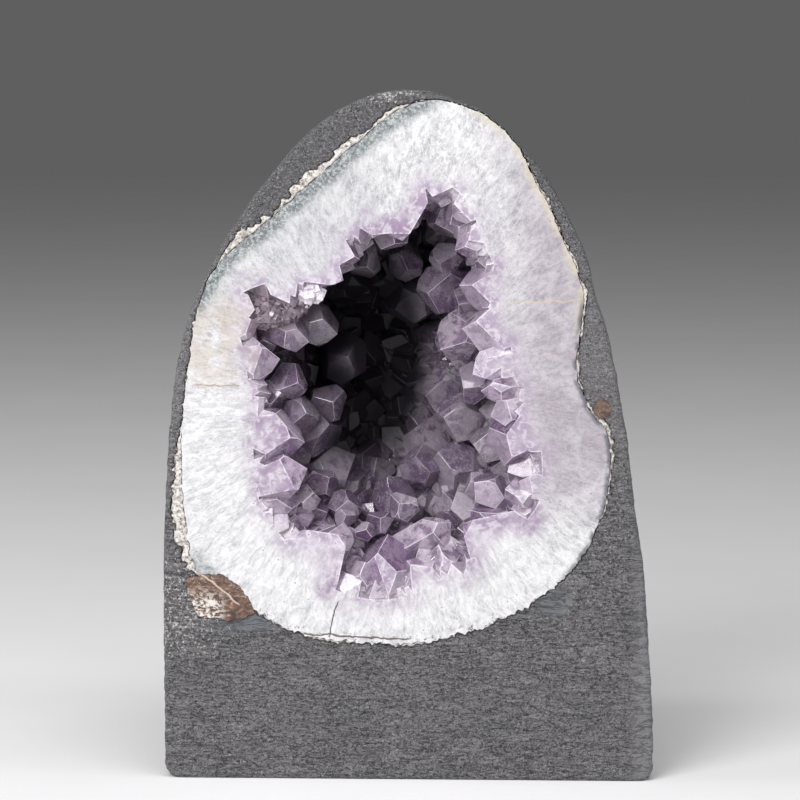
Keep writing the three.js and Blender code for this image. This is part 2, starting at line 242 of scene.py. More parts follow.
# The patches of small points at the rim: the low and high corner, how many, and the radii. For all of
# them: how far they lean, how far they stand out in radii, and how far behind the face they begin.
FINE_POINTS = {"lean": 0.7, "height": (0.9, 2.2), "behind": 0.5}
FINE_DRUSE = [
    ((-30, 128), (-16, 142), 110, (1.0, 2.3)),
    ((-46, 98), (-30, 112), 90, (1.1, 2.6)),
    ((-40, 70), (-28, 84), 60, (1.2, 2.8)),
    ((-20, 52), (4, 66), 80, (1.0, 2.4)),
    ((-14, 136), (8, 152), 60, (1.2, 2.8)),
]
# Thin marks on the sawn face: from, to, width, strength and colour.
FACE_MARKS = [
    ((-28.8, 40.8), (0.5, 39.4), 0.36, 0.9, (64, 44, 30)),
    ((-19.5, 50), (-22, 40.5), 0.3, 0.9, (40, 34, 38)),
    ((-58, 109.8), (-46, 109.2), 0.3, 0.7, (150, 116, 84)),
    ((26.5, 132.4), (47, 133.2), 0.35, 0.5, (196, 172, 128)),
    ((30, 121), (41, 118.5), 0.3, 0.4, (150, 130, 128)),
]
# Where the stone round the opening is deepest in colour: [x, z], the reach each way, and how much.
PURPLE_ZONES = [
    ((-4, 155), (11, 10), 1.0),
    ((22, 138), (6, 7), 0.7),
    ((23, 124.5), (8, 6), 0.7),
    ((28, 93), (7, 11), 0.7),
    ((27, 73), (12, 7), 0.9),
    ((18, 58), (6, 5), 0.5),
    ((-7, 61), (9, 9), 0.7),
    ((-22.5, 54), (5, 4), 0.9),
    ((-27, 64), (8, 6), 0.45),
    ((-37, 96), (10, 8), 0.9),
    ((-41, 117), (6, 8), 0.8),
    ((-35, 83), (9, 9), 0.9),
]
# The ledge of fine dark druse at the upper left: its middle, half its size, its slope in degrees, and
# how far the rim's crystals keep off it; how many points stand round it, with their radii and heights, how
# far they lean, and how far out of its middle their feet are.
LEDGE = {"middle": (-37.5, 130.5), "behind": 7.2, "half": (10.5, 6, 5.5), "turn": -12, "clear": (1, 3)}
LEDGE_POINTS = {"count": 420, "radius": (0.7, 1.5), "height": (0.8, 1.7), "lean": 0.6, "foot": 0.92}
OUTWARD = 0.6  # how much the crystals turn to the front, where 1 is square to the wall
RHOMB_TILT = math.radians(51.8)  # between a quartz crystal's axis and the normal of an end face
# In radii: how far a crystal's sides lie from its axis, and how far the planes of its end faces lie from
# its tip, for every other face and for the ones between.
SIDE_AWAY = (0.8, 1.12)
END_AWAY = ((0.2, 0.62), (0.0, 0.12))
BEVEL = 0.13
# What spreads a crystal's faces between a painted sheen and painted shade: how much its tint and its faces'
# numbers count.
FACET_SPREAD = (5, 0.618)
GOLDEN_ANGLE = math.pi * (3 - math.sqrt(5))
QUARTZ_IOR = 1.54
# The blocks of the calcite: how many, their sizes and bevel, their shear, and the size of their core.
CALCITE = {"count": 26, "size": (1.6, 2.9), "bevel": 0.14, "shear": (0.35, 0.2), "core": 0.62}
# Smooth smears on the casing's front: the middle, and the reach each way.
SMEARS = [((-45, 44), (9, 3)), ((40, 50), (5, 4.5))]
SHADOW = ((-13, 115), (18, 33))  # the upper part of the hollow, where shade is painted in nearly black, given in the same way

# The studio, in metres: the lights' names, places, sizes and powers, and what they are aimed at.
LIGHTS = [
    ("key", (-0.55, -1.0, 0.65), (0.75, 0.75), 13.5),
    ("front", (0.3, -1.3, 0.35), (0.9, 0.6), 3.2),
    ("left", (-1.1, -0.1, 0.4), (0.3, 0.8), 4),
    ("right", (1.1, -0.25, 0.45), (0.3, 0.8), 3),
    ("over", (0.05, -0.45, 1.15), (1.0, 0.6), 9),
]
LIT_PLACE = (0, 0, 0.1)
WORLD = {"Color": (0.95, 0.95, 0.97, 1), "Strength": 0.12}
FLOOR_HALF = 3
# The camera stands a little to the right of straight ahead, and a little above. Its frame takes in this
# height at the face.
CAMERA = {"azimuth": 2, "elevation": 7, "distance": 0.9, "target": (-0.0023, 0.1057)}
FRAME_HEIGHT = 0.2178
SENSOR = 36

random.seed(7)


# ---- meshes ----------------------------------------------------------------------------------------


def new_object(name, points, faces):
    """An object with this mesh, with its faces turned outwards."""
    mesh = bpy.data.meshes.new(name)
    mesh.from_pydata([tuple(p) for p in points], [], [tuple(f) for f in faces])
    shape = bmesh.new()
    shape.from_mesh(mesh)
    bpy.data.meshes.remove(mesh)
    bmesh.ops.recalc_face_normals(shape, faces=shape.faces)
    return object_of(shape, name)


def object_of(shape, name):
    """An object with the mesh that a bmesh holds."""
    mesh = bpy.data.meshes.new(name)
    shape.to_mesh(mesh)
    shape.free()
    made = bpy.data.objects.new(name, mesh)
    bpy.context.scene.collection.objects.link(made)
    return made


def with_modifier(made, kind, **settings):
    """Applies one modifier to an object's mesh."""
    modifier = made.modifiers.new(kind, kind)
    for name, value in settings.items():
        setattr(modifier, name, value)
    graph = bpy.context.evaluated_depsgraph_get()
    mesh = bpy.data.meshes.new_from_object(made.evaluated_get(graph))
    made.modifiers.clear()
    made.data = mesh
    return made


def combined(made, operation, others):
    """Joins others to an object's mesh, or cuts it with them, and takes the others away."""
    group = bpy.data.collections.new(operation)
    bpy.context.scene.collection.children.link(group)
    for other in others:
        for collection in list(other.users_collection):
            collection.objects.unlink(other)
        group.objects.link(other)
    with_modifier(
        made, "BOOLEAN", operation=operation, operand_type="COLLECTION", collection=group, solver="MANIFOLD"
    )
    for other in list(group.objects):
        bpy.data.objects.remove(other)
    bpy.data.collections.remove(group)
    return made


def cut(made, *others):
    """Cuts an object with others."""
    return combined(made, "DIFFERENCE", others)


def vertex_array(mesh, what="co"):
    values = np.zeros(len(mesh.vertices) * 3)
    mesh.vertices.foreach_get(what, values)
    return values.reshape(-1, 3)


def set_vertices(mesh, places):
    mesh.vertices.foreach_set("co", places.ravel())
    mesh.update()


def keep_values(mesh, name, values, domain="POINT"):
    """Stores a number for each point or face, for the materials to read."""
    attribute = mesh.attributes.get(name) or mesh.attributes.new(name, "FLOAT", domain)
    attribute.data.foreach_set("value", np.asarray(values, np.float32))


def finished(made, name, node, material, smooth=False):
    """Scales a shape to metres and makes it the piece that stands for a CAD node."""
    made.data.transform(Matrix.Scale(MM, 4))
    made.name = name
    made.data.name = name
    made.data.materials.clear()
    made.data.materials.append(material)
    made.data.shade_smooth() if smooth else made.data.shade_flat()
    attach(made, "root")
    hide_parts(node)
    return made


# ---- loops and lofts -------------------------------------------------------------------------------


def smooth_line(points, closed=True, steps=20):
    """A dense smooth line through a few [x, z] points."""
    corners = np.array(points, float)
    ends = (corners[-1:], corners[:2]) if closed else (corners[:1], corners[-1:])
    padded = np.vstack([ends[0], corners, ends[1]])
    spans = len(padded) - 3
    a, b, c, d = (padded[start : start + spans, None] for start in range(4))
    t = np.linspace(0, 1, steps, endpoint=False)[None, :, None]
    curve = 2 * b + (c - a) * t + (2 * a - 5 * b + 4 * c - d) * t**2 + (3 * b - a - 3 * c + d) * t**3
    return (0.5 * curve).reshape(-1, 2)


def evenly(loop, spacing):
    """The closed loop with its points at an even spacing."""
    around = np.vstack([loop, loop[:1]])
    lengths = np.r_[0, np.cumsum(np.hypot(*np.diff(around, axis=0).T))]
    count = int(round(lengths[-1] / spacing))
    places = np.linspace(0, lengths[-1], count, endpoint=False)
    return np.column_stack([np.interp(places, lengths, around[:, axis]) for axis in (0, 1)])


def grown(loop, distance):
    """The loop moved outwards, by one distance or by one for each point."""
    along = np.roll(loop, -1, 0) - np.roll(loop, 1, 0)
    outwards = np.column_stack([-along[:, 1], along[:, 0]])
    outwards /= np.hypot(*outwards.T)[:, None]
    return loop + outwards * np.reshape(distance, (-1, 1))


def drawn_in(loop, centre, share):
    """The loop scaled towards a centre."""
    centre = np.array(centre, float)
    return centre + (loop - centre) * share


def turn_round(loop, centre):
    """The angle of each point round a centre, in degrees up from +X, and its distance from it."""
    away = loop - np.array(centre, float)
    return np.degrees(np.arctan2(away[:, 1], away[:, 0])), np.hypot(*away.T)


def ragged(loop, scale, amount, seed):
    """Uneven distances for the points of a loop, from -amount to amount."""
    return [amount * noise.fractal(Vector((x / scale, seed, z / scale)), 0.6, 2, 4) for x, z in loop]


def loft(name, rows, ring=False):
    """A closed surface through loops of as many points each, given as (loop, distance behind the face)."""
    count = len(rows[0][0])
    points = [(x, FACE + behind, z) for loop, behind in rows for x, z in loop]
    faces = []
    for row in range(len(rows) if ring else len(rows) - 1):
        near, far = row * count, (row + 1) % len(rows) * count
        for i in range(count):
            after = (i + 1) % count
            faces.append((near + i, near + after, far + after, far + i))
    if not ring:
        faces.append(range(count))
        faces.append(range((len(rows) - 1) * count, len(rows) * count))
    return new_object(name, points, faces)


def rounded(share, power):
    """How much of its width a rounded body keeps at a share of its depth."""
    return np.maximum(0, 1 - np.asarray(share, float) ** power) ** (1 / np.asarray(power, float))


def depth_shares(steps):
    """Shares of a depth, closer together where a rounded body closes."""
    return [math.sin(0.5 * math.pi * step / steps) for step in range(1, steps)]


# ---- the casing ------------------------------------------------------------------------------------


def casing_loop():
    """Straight along the foot, rounded at the lower corners, and smooth over the top."""
    arch = smooth_line(CASING_EDGE, closed=False)
    corner = [
        (HALF_WIDTH - CORNER * (1 - math.cos(turn)), CORNER * (1 - math.sin(turn)))
        for turn in np.linspace(0, math.pi / 2, 8)
    ]
    foot = corner + [(-x, z) for x, z in reversed(corner)]
    return evenly(np.vstack([arch, foot]), 1.6)


def plain_casing():
    loop = casing_loop()
    rows = []
    for turn in np.radians((0, 30, 60)):
        inset = grown(loop, -EDGE_ROUND * (1 - math.sin(turn)))
        inset[:, 1] = np.minimum(np.maximum(inset[:, 1], 0), TOP)
        inset[loop[:, 1] < 0.01, 1] = 0
        rows.append((inset, EDGE_ROUND * (1 - math.cos(turn))))
    for share in [EDGE_ROUND / DEPTH] + depth_shares(16):
        rows.append((drawn_in(loop, (0, 0), rounded(share, CASING["roundness"])), DEPTH * share))
    rows.append((drawn_in(loop, (0, 0), CASING["flat_back"]), DEPTH))
    return loft("casing", rows)


def weathered(made):
    """Sinks the casing's surface into sandy grains and lumps, with ripples near the foot."""
    mesh = made.data
    places = vertex_array(mesh)
    normals = vertex_array(mesh, "normal")
    for i, (x, y, z) in enumerate(places):
        if z < WEATHER["foot"]:
            continue
        grain = noise.noise(Vector((x, y, z)) / 1.3)
        lump = noise.fractal(Vector((x / 9, y / 9, z / 5.5)), 0.7, 2, 3)
        ripple = noise.noise(Vector((x / 7, y / 7 + 9, z / 1.7)))
        low = min(1, max(0.25, (62 - z) / 40))
        sunk = WEATHER["grain"] * (0.6 + grain) + WEATHER["lump"] * (0.8 + lump)
        sunk += WEATHER["ripple"] * low * (0.8 + ripple)
        places[i] -= normals[i] * max(0, sunk)
    set_vertices(mesh, places)


def rind_rows(loop, gap=0.0):
    """Rows of a loft that close behind a loop as the rind does."""
    rows = []
    for share in RIND_SHARES:
        width = rounded(share, RIND["roundness"]) - RIND["taper"] * share
        rows.append((drawn_in(loop, RIND["centre"], width), RIND["depth"] * share + gap))
    return rows


def pocket(loop):
    """The room in the casing for the geode and its chalky seam."""
    return loft("pocket", [(loop, -LEAD), (loop, 0), (loop, CRUST_DEPTH)] + rind_rows(loop, POCKET_GAP))


# ---- the seam, the rind and the hollow -------------------------------------------------------------


def rind_loop():
    """The rind's edge in the face, a little uneven, and rougher along the bottom."""
    loop = evenly(smooth_line(RIND_EDGE), 0.6)
    turn, _ = turn_round(loop, RIND["centre"])
    bottom = np.clip((-30 - turn) / 10, 0, 1) * np.clip((turn + 150) / 10, 0, 1)
    return grown(loop, np.array(ragged(loop, 3.5, 0.35, 3)) + bottom * np.array(ragged(loop, 1.6, 0.9, 5)))


def seam_loop(loop):
    """The outer edge of the chalky seam round the rind's loop, kept inside the casing's wall."""
    turn, rind_away = turn_round(loop, RIND["centre"])
    width = np.interp(turn, *np.array(SEAM_WIDTH).T)
    patches = np.clip(1 + np.array(ragged(loop, 9, 1.1, 8)), 0.25, 1.4)
    crumbs = np.array(ragged(loop, 0.7, 0.9, 4)) * np.clip(width / 1.6, 0.3, 1)
    outer = grown(loop, np.maximum(SEAM["least"], width * patches + crumbs))
    casing_turns, casing_aways = turn_round(casing_loop(), RIND["centre"])
    order = np.argsort(casing_turns)
    turns, aways = turn_round(outer, RIND["centre"])
    room = np.interp(turns, casing_turns[order], casing_aways[order], period=360) - WALL_LEAST
    share = np.minimum(1, np.maximum(room, rind_away + SEAM["least"]) / aways)
    return drawn_in(outer, RIND["centre"], share[:, None])


def crumbled_seam(inner, outer):
    """The chalky seam between two loops, with its surface pushed in and out into crumbs."""
    rows = [(outer, SEAM["outer"]), (outer, CRUST_DEPTH), (inner, CRUST_DEPTH), (inner, SEAM["inner"])]
    made = loft("seam", rows, ring=True)
    with_modifier(made, "REMESH", mode="VOXEL", voxel_size=SEAM["voxel"])
    mesh = made.data
    places = vertex_array(mesh)
    normals = vertex_array(mesh, "normal")
    for i, place in enumerate(places):
        crumb = noise.fractal(Vector(place) / 1.4, 0.5, 2, 3)
        places[i] += normals[i] * np.clip(0.38 * crumb - 0.05, -0.5, 0.3)
    places[:, 1] = np.maximum(places[:, 1], FACE + 0.02)
    set_vertices(mesh, places)
    return made


def plain_rind(loop):
    return loft("rind", [(loop, -LEAD), (loop, 0)] + rind_rows(loop))


wall_loop = evenly(smooth_line(WALL_EDGE), 1.5)
wall_turns, wall_aways = turn_round(wall_loop, HOLLOW["centre"])
wall_order = np.argsort(wall_turns)


def wall_reach(turn):
    """How far the wall's edge in the face lies from the hollow's centre line, at angles in degrees."""
    return np.interp(turn, wall_turns[wall_order], wall_aways[wall_order], period=360)


def wall_power(turn):
    """The power that shapes the wall: it falls away steeply at the top and slopes elsewhere."""
    off = np.radians(turn - HOLLOW["steepest"])
    return HOLLOW["slope"] + HOLLOW["steepen"] * (0.5 + 0.5 * np.cos(off)) ** 2


def hollow(name, distance):
    """The hollow as a solid, grown by a distance."""
    loop = grown(wall_loop, distance)
    turn, _ = turn_round(loop, HOLLOW["centre"])
    depth = HOLLOW["depth"] - BED + distance
    rows = [(loop, -LEAD), (loop, 0)]
    for share in depth_shares(14):
        width = rounded(share, wall_power(turn))[:, None]
        rows.append((drawn_in(loop, HOLLOW["centre"], width), depth * share))
    return loft(name, rows)


def wall_behind(x, z):
    """How far behind the face the hollow's wall lies at [x, z]."""
    (turn,), (away,) = turn_round(np.array([[x, z]], float), HOLLOW["centre"])
    share = min(1, away / wall_reach(turn))
    return (HOLLOW["depth"] - BED) * float(rounded(share, wall_power(turn)))


def wall_point(x, z):
    return Vector((x, FACE + wall_behind(x, z), z))


def growth_direction(x, z, step=1.5):
    """The way that a crystal grows out of the wall: out of it, and more towards the hollow's centre line
    than straight out."""
    slope_x = (wall_behind(x + step, z) - wall_behind(x - step, z)) / (2 * step)
    slope_z = (wall_behind(x, z + step) - wall_behind(x, z - step)) / (2 * step)
    return Vector((slope_x, -OUTWARD, slope_z)).normalized()


# ---- crystals --------------------------------------------------------------------------------------


def crystal(tip, axis, radius, length, bevel=BEVEL):
    """A quartz crystal: a prism of six sides that ends in six uneven slopes, with its tip at a place."""
    shape = bmesh.new()
    bmesh.ops.create_cube(shape, size=1)
    bmesh.ops.scale(shape, vec=(4 * radius, 4 * radius, length), verts=shape.verts)
    bmesh.ops.translate(shape, vec=(0, 0, -length / 2 + radius), verts=shape.verts)
    turn = random.uniform(0, math.tau)
    planes = []
    for side in range(6):
        angle = turn + side * math.pi / 3
        across = Vector((math.cos(angle), math.sin(angle), 0))
        slope = across * math.sin(RHOMB_TILT) + Vector((0, 0, math.cos(RHOMB_TILT)))
        back = random.uniform(*END_AWAY[side % 2])
        planes.append((across, radius * random.uniform(*SIDE_AWAY)))
        planes.append((slope, radius * back))
    for normal, distance in planes:
        everything = shape.verts[:] + shape.edges[:] + shape.faces[:]
        sliced = bmesh.ops.bisect_plane(
            shape, geom=everything, dist=1e-4, plane_co=normal * distance, plane_no=normal, clear_outer=True
        )
        rim = [part for part in sliced["geom_cut"] if isinstance(part, bmesh.types.BMEdge)]
        if rim:
            bmesh.ops.edgeloop_fill(shape, edges=rim)
    if bevel:
        # the bevel faces are marked, so that a painted highlight can run along the crystals' edges
        edge = shape.faces.layers.float.new("edge")
        rounding = bmesh.ops.bevel(shape, geom=shape.edges[:], offset=bevel, segments=1, affect="EDGES")
        for face in rounding["faces"]:
            face[edge] = 1
    bmesh.ops.recalc_face_normals(shape, faces=shape.faces)
    turned = Vector((0, 0, 1)).rotation_difference(axis).to_matrix().to_4x4()
    bmesh.ops.transform(shape, matrix=Matrix.Translation(tip) @ turned, verts=shape.verts)
    tint = random.random()
    # a number for each face, which paints some faces paler as a sheen and some darker as shade
    facet = shape.faces.layers.float.new("facet")
    for number, face in enumerate(shape.faces):
        face[facet] = (tint * FACET_SPREAD[0] + number * FACET_SPREAD[1]) % 1
    bmesh.ops.triangulate(shape, faces=shape.faces)
    made = object_of(shape, "crystal")
    keep_values(made.data, "tint", [tint] * len(made.data.polygons), "FACE")
    return made


def leaning(axis, amount):
    """The axis tipped over at random."""
    sway = Vector((random.uniform(-1, 1), random.uniform(-1, 1), random.uniform(-1, 1)))
    return (axis + sway * amount).normalized()


def hero_crystals():
    """The listed crystals, and the feet that they stand on with their radii."""
    made, feet = [], []
    for table, tip_sink, root_sink in ((HERO_CRYSTALS, TIP_SINK, ROOT_SINK), (CUT_CRYSTALS, 0, 0)):
        for (x, z, behind), radius, *root in table:
            tip = Vector((x, FACE + max(behind, tip_sink * radius), z))
            if root:
                root_x, root_z, root_behind = root[0]
                foot = Vector((root_x, FACE + max(root_behind, root_sink * radius), root_z))
            else:
                # The foot below a tip is found step by step, since the wall's slope changes with it.
                foot = wall_point(x, z)
                for _ in range(5):
                    foot = wall_point(*(tip - growth_direction(foot.x, foot.z) * radius * TIP_RISE).xz)
            axis = (tip - foot).normalized()
            made.append(crystal(tip, axis, radius, (tip - foot).length + ROOT * radius))
            feet.append((tip.lerp(foot, 0.5) if root else foot, radius))
    return made, feet


def on_ledge(x, z):
    """Whether [x, z] lies over the ledge of fine druse."""
    (middle_x, middle_z), (wide, _, tall), (beside, above) = LEDGE["middle"], LEDGE["half"], LEDGE["clear"]
    return abs(x - middle_x) < wide + beside and abs(z - middle_z) < tall + above


def ledge_crystals():
    """The ledge at the upper left: a lump with small points all over its front."""
    middle_x, middle_z = LEDGE["middle"]
    centre = Vector((middle_x, FACE + LEDGE["behind"], middle_z))
    half = Vector(LEDGE["half"])
    slope = Matrix.Rotation(math.radians(LEDGE["turn"]), 3, "Y")
    made = [pebble("ledge", centre, half, LEDGE["turn"], 6, detail=3)]
    for i in range(LEDGE_POINTS["count"]):
        up = 1 - 2 * (i + 0.5) / LEDGE_POINTS["count"]
        wide = math.sqrt(1 - up * up)
        outwards = Vector((wide * math.cos(i * GOLDEN_ANGLE), wide * math.sin(i * GOLDEN_ANGLE), up))
        radius = random.uniform(*LEDGE_POINTS["radius"])
        height = random.uniform(*LEDGE_POINTS["height"])
        if outwards.y < 0.3:
            foot = centre + slope @ (outwards * LEDGE_POINTS["foot"] * half)
            axis = leaning(slope @ outwards, LEDGE_POINTS["lean"])
            made.append(crystal(foot + axis * height, axis, radius, height + ROOT * radius, bevel=0))
    return made


def rim_crystals():
    """The rows of crystals that stand round the opening, with their tips a little behind the face."""
    made = []
    centre_x, centre_z = HOLLOW["centre"]
    for row in RIM_ROWS:
        for x, z in evenly(wall_loop, row["spacing"]):
            if on_ledge(x, z):
                continue
            radius = random.uniform(*row["radius"])
            inwards = Vector((centre_x - x, 0, centre_z - z)).normalized()
            tip = Vector((x, FACE + random.uniform(*row["behind"]), z))
            tip += inwards * random.uniform(*row["reach"])
            axis = leaning(inwards - Vector((0, random.uniform(*row["front"]), 0)), RIM_LEAN)
            made.append(crystal(tip, axis, radius, RIM_LENGTH * radius))
    return made


def fill_crystals(feet):
    """Crystals spread over the whole wall, where no listed crystal stands."""
    made = []
    centre_x, centre_z = HOLLOW["centre"]
    for i in range(FILL["count"]):
        turn = math.degrees(i * GOLDEN_ANGLE) % 360
        away = float(wall_reach(turn) * rounded((i + 0.5) / FILL["count"], wall_power(turn)))
        x = centre_x + away * math.cos(math.radians(turn))
        z = centre_z + away * math.sin(math.radians(turn))
        foot = wall_point(x, z)
        low, high = FILL["radius"]
        radius = low + (high - low) * random.random() ** FILL["skew"]
        height = radius * random.uniform(*FILL["height"])
        axis = leaning(growth_direction(x, z), FILL["lean"])
        tip = foot + axis * height
        tip.y = max(tip.y, FACE + random.uniform(*FILL["behind"]))
        if any((foot - other).length < reach * FILL["clear"] for other, reach in feet):
            continue
        made.append(crystal(tip, axis, radius, height + ROOT * radius))
    return made


def fine_crystals():
    """The patches of small points."""
    made = []
    for (low_x, low_z), (high_x, high_z), count, (small, large) in FINE_DRUSE:
        for _ in range(count):
            x, z = random.uniform(low_x, high_x), random.uniform(low_z, high_z)
            radius = random.uniform(small, large)
            foot = wall_point(x, z)
            axis = leaning(growth_direction(x, z), FINE_POINTS["lean"])
            height = radius * random.uniform(*FINE_POINTS["height"])
            if foot.y > FACE + FINE_POINTS["behind"]:
                made.append(crystal(foot + axis * height, axis, radius, height + radius, bevel=0))
    return made


def face_slab(low, high):
    """A slab in front of the sawn face. Its back is a fine grid, so that the face it leaves has points to
    carry colours."""
    xs = np.arange(low[0], high[0], SAWN_GRID)
    zs = np.arange(low[1], high[1], SAWN_GRID)
    rows = [[(x, FACE + 0.004 * ((i + j) % 2), z) for j, z in enumerate(zs)] for i, x in enumerate(xs)]
    points = [point for row in rows for point in row]
    wide, tall = len(xs), len(zs)
    faces = [
        (i * tall + j, i * tall + j + 1, (i + 1) * tall + j + 1, (i + 1) * tall + j)
        for i in range(wide - 1)
        for j in range(tall - 1)
    ]
    rim = [i * tall for i in range(wide)]
    rim += [(wide - 1) * tall + j for j in range(1, tall)]
    rim += [i * tall + tall - 1 for i in range(wide - 2, -1, -1)]
    rim += list(range(tall - 2, 0, -1))
    first = len(points)
    points += [(points[i][0], FACE - 2 * LEAD, points[i][2]) for i in rim]
    for i, corner in enumerate(rim):
        after = (i + 1) % len(rim)
        faces.append((corner, rim[after], first + after, first + i))
    faces.append(range(first, first + len(rim)))
    return new_object("slab", points, faces)


def plain_druse():
    """The bed on the hollow's wall with all its crystals, cut flat at the face."""
    made = hollow("druse", BED - BED_GAP)
    cut(made, hollow("room", 0))
    heroes, feet = hero_crystals()
    small = rim_crystals() + fill_crystals(feet) + fine_crystals() + ledge_crystals()
    combined(made, "UNION", heroes + small)
    combined(made, "INTERSECT", [hollow("limit", BED - BED_GAP)])
    cut(made, face_slab(*SAWN_AREAS["druse"]))
    return made


def sawn_faces(mesh):
    """Which faces of a mesh lie in the sawn face."""
    count = len(mesh.polygons)
    centres, normals = np.zeros(count * 3), np.zeros(count * 3)
    mesh.polygons.foreach_get("center", centres)
    mesh.polygons.foreach_get("normal", normals)
    return (centres.reshape(-1, 3)[:, 1] < FACE + 0.02) & (normals.reshape(-1, 3)[:, 1] < -0.9)


def rim_points(mesh, sawn):
    """Points along the edges where the sawn face ends."""
    owners = {}
    for polygon in np.flatnonzero(sawn):
        for key in mesh.polygons[polygon].edge_keys:
            owners[key] = owners.get(key, 0) + 1
    places = vertex_array(mesh)
    found = []
    for (a, b), count in owners.items():
        if count == 1:
            steps = max(1, int(np.linalg.norm(places[a] - places[b]) / 0.25))
            for step in range(steps + 1):
                found.append(places[a] + (places[b] - places[a]) * step / steps)
    return np.array(found)


def nearest(points):
    """A search tree of points."""
    tree = kdtree.KDTree(len(points))
    for i, point in enumerate(points):
        tree.insert(point, i)
    tree.balance()
    return tree


def mark_growth(druse, rind, outer):
    """Stores which faces are sawn, how far each point of the druse and the rind is from the rim of the open
    hollow and from the rind's outer edge, and how far it reaches in past the wall's edge in the face."""
    sawn = {made.name: sawn_faces(made.data) for made in (druse, rind)}
    shared = nearest([(x, FACE, z) for x, z in evenly(grown(wall_loop, BED), 0.1)])
    seam = 0.06  # rim points this close to the joint of druse and rind aren't on the opening
    opening = []
    for made in (druse, rind):
        for point in rim_points(made.data, sawn[made.name]):
            (turn,), (away,) = turn_round(np.array([[point[0], point[2]]]), HOLLOW["centre"])
            if away < wall_reach(turn) + BED + 1 and shared.find(point)[2] > seam:
                opening.append(point)
    edge, outside = nearest(opening), nearest([(x, FACE, z) for x, z in outer])
    for made in (druse, rind):
        mesh = made.data
        places = vertex_array(mesh)
        keep_values(mesh, "sawn", sawn[made.name], "FACE")
        turns, aways = turn_round(places[:, (0, 2)], HOLLOW["centre"])
        keep_values(mesh, "past_wall", np.maximum(0, wall_reach(turns) - aways))
        keep_values(mesh, "from_hollow", [edge.find(place)[2] for place in places])
        keep_values(mesh, "from_edge", [outside.find(place)[2] for place in places])


# ---- materials -------------------------------------------------------------------------------------


class Value:
    """A socket's value. Python's operators on it add Math nodes."""

    def __init__(self, finish, socket):
        self.finish = finish
        self.socket = socket

    def maths(self, operation, *values):
        sockets = dict(enumerate(values))
        return self.finish.add("ShaderNodeMath", {"operation": operation}, sockets)["Value"]

    def __add__(self, other):
        return self.maths("ADD", self, other)

    def __sub__(self, other):
        return self.maths("SUBTRACT", self, other)

    def __rsub__(self, other):
        return self.maths("SUBTRACT", other, self)

    def __mul__(self, other):
        return self.maths("MULTIPLY", self, other)

    def __truediv__(self, other):
        return self.maths("DIVIDE", self, other)

    def __pow__(self, other):
        return self.maths("POWER", self, other)

    __radd__ = __add__
    __rmul__ = __mul__

    def least(self, other):
        return self.maths("MINIMUM", self, other)

    def most(self, other):
        return self.maths("MAXIMUM", self, other)

    def size(self):
        return self.maths("ABSOLUTE", self)

    def rise(self, low, high):
        """0 below low and 1 above high, with a smooth rise between. High may be the lower one."""
        settings = {"interpolation_type": "SMOOTHSTEP"}
        sockets = {"Value": self, "From Min": low, "From Max": high}
        return self.finish.add("ShaderNodeMapRange", settings, sockets)["Result"]

    def close_to(self, middle, far, near):
        """1 nearer to the middle than near and 0 beyond far."""
        return (self - middle).size().rise(far, near)


class Made:
    """A node that has been added, with its outputs by name or number."""

    def __init__(self, finish, node):
        self.finish = finish
        self.node = node

    def __getitem__(self, output):
        return Value(self.finish, self.node.outputs[output])


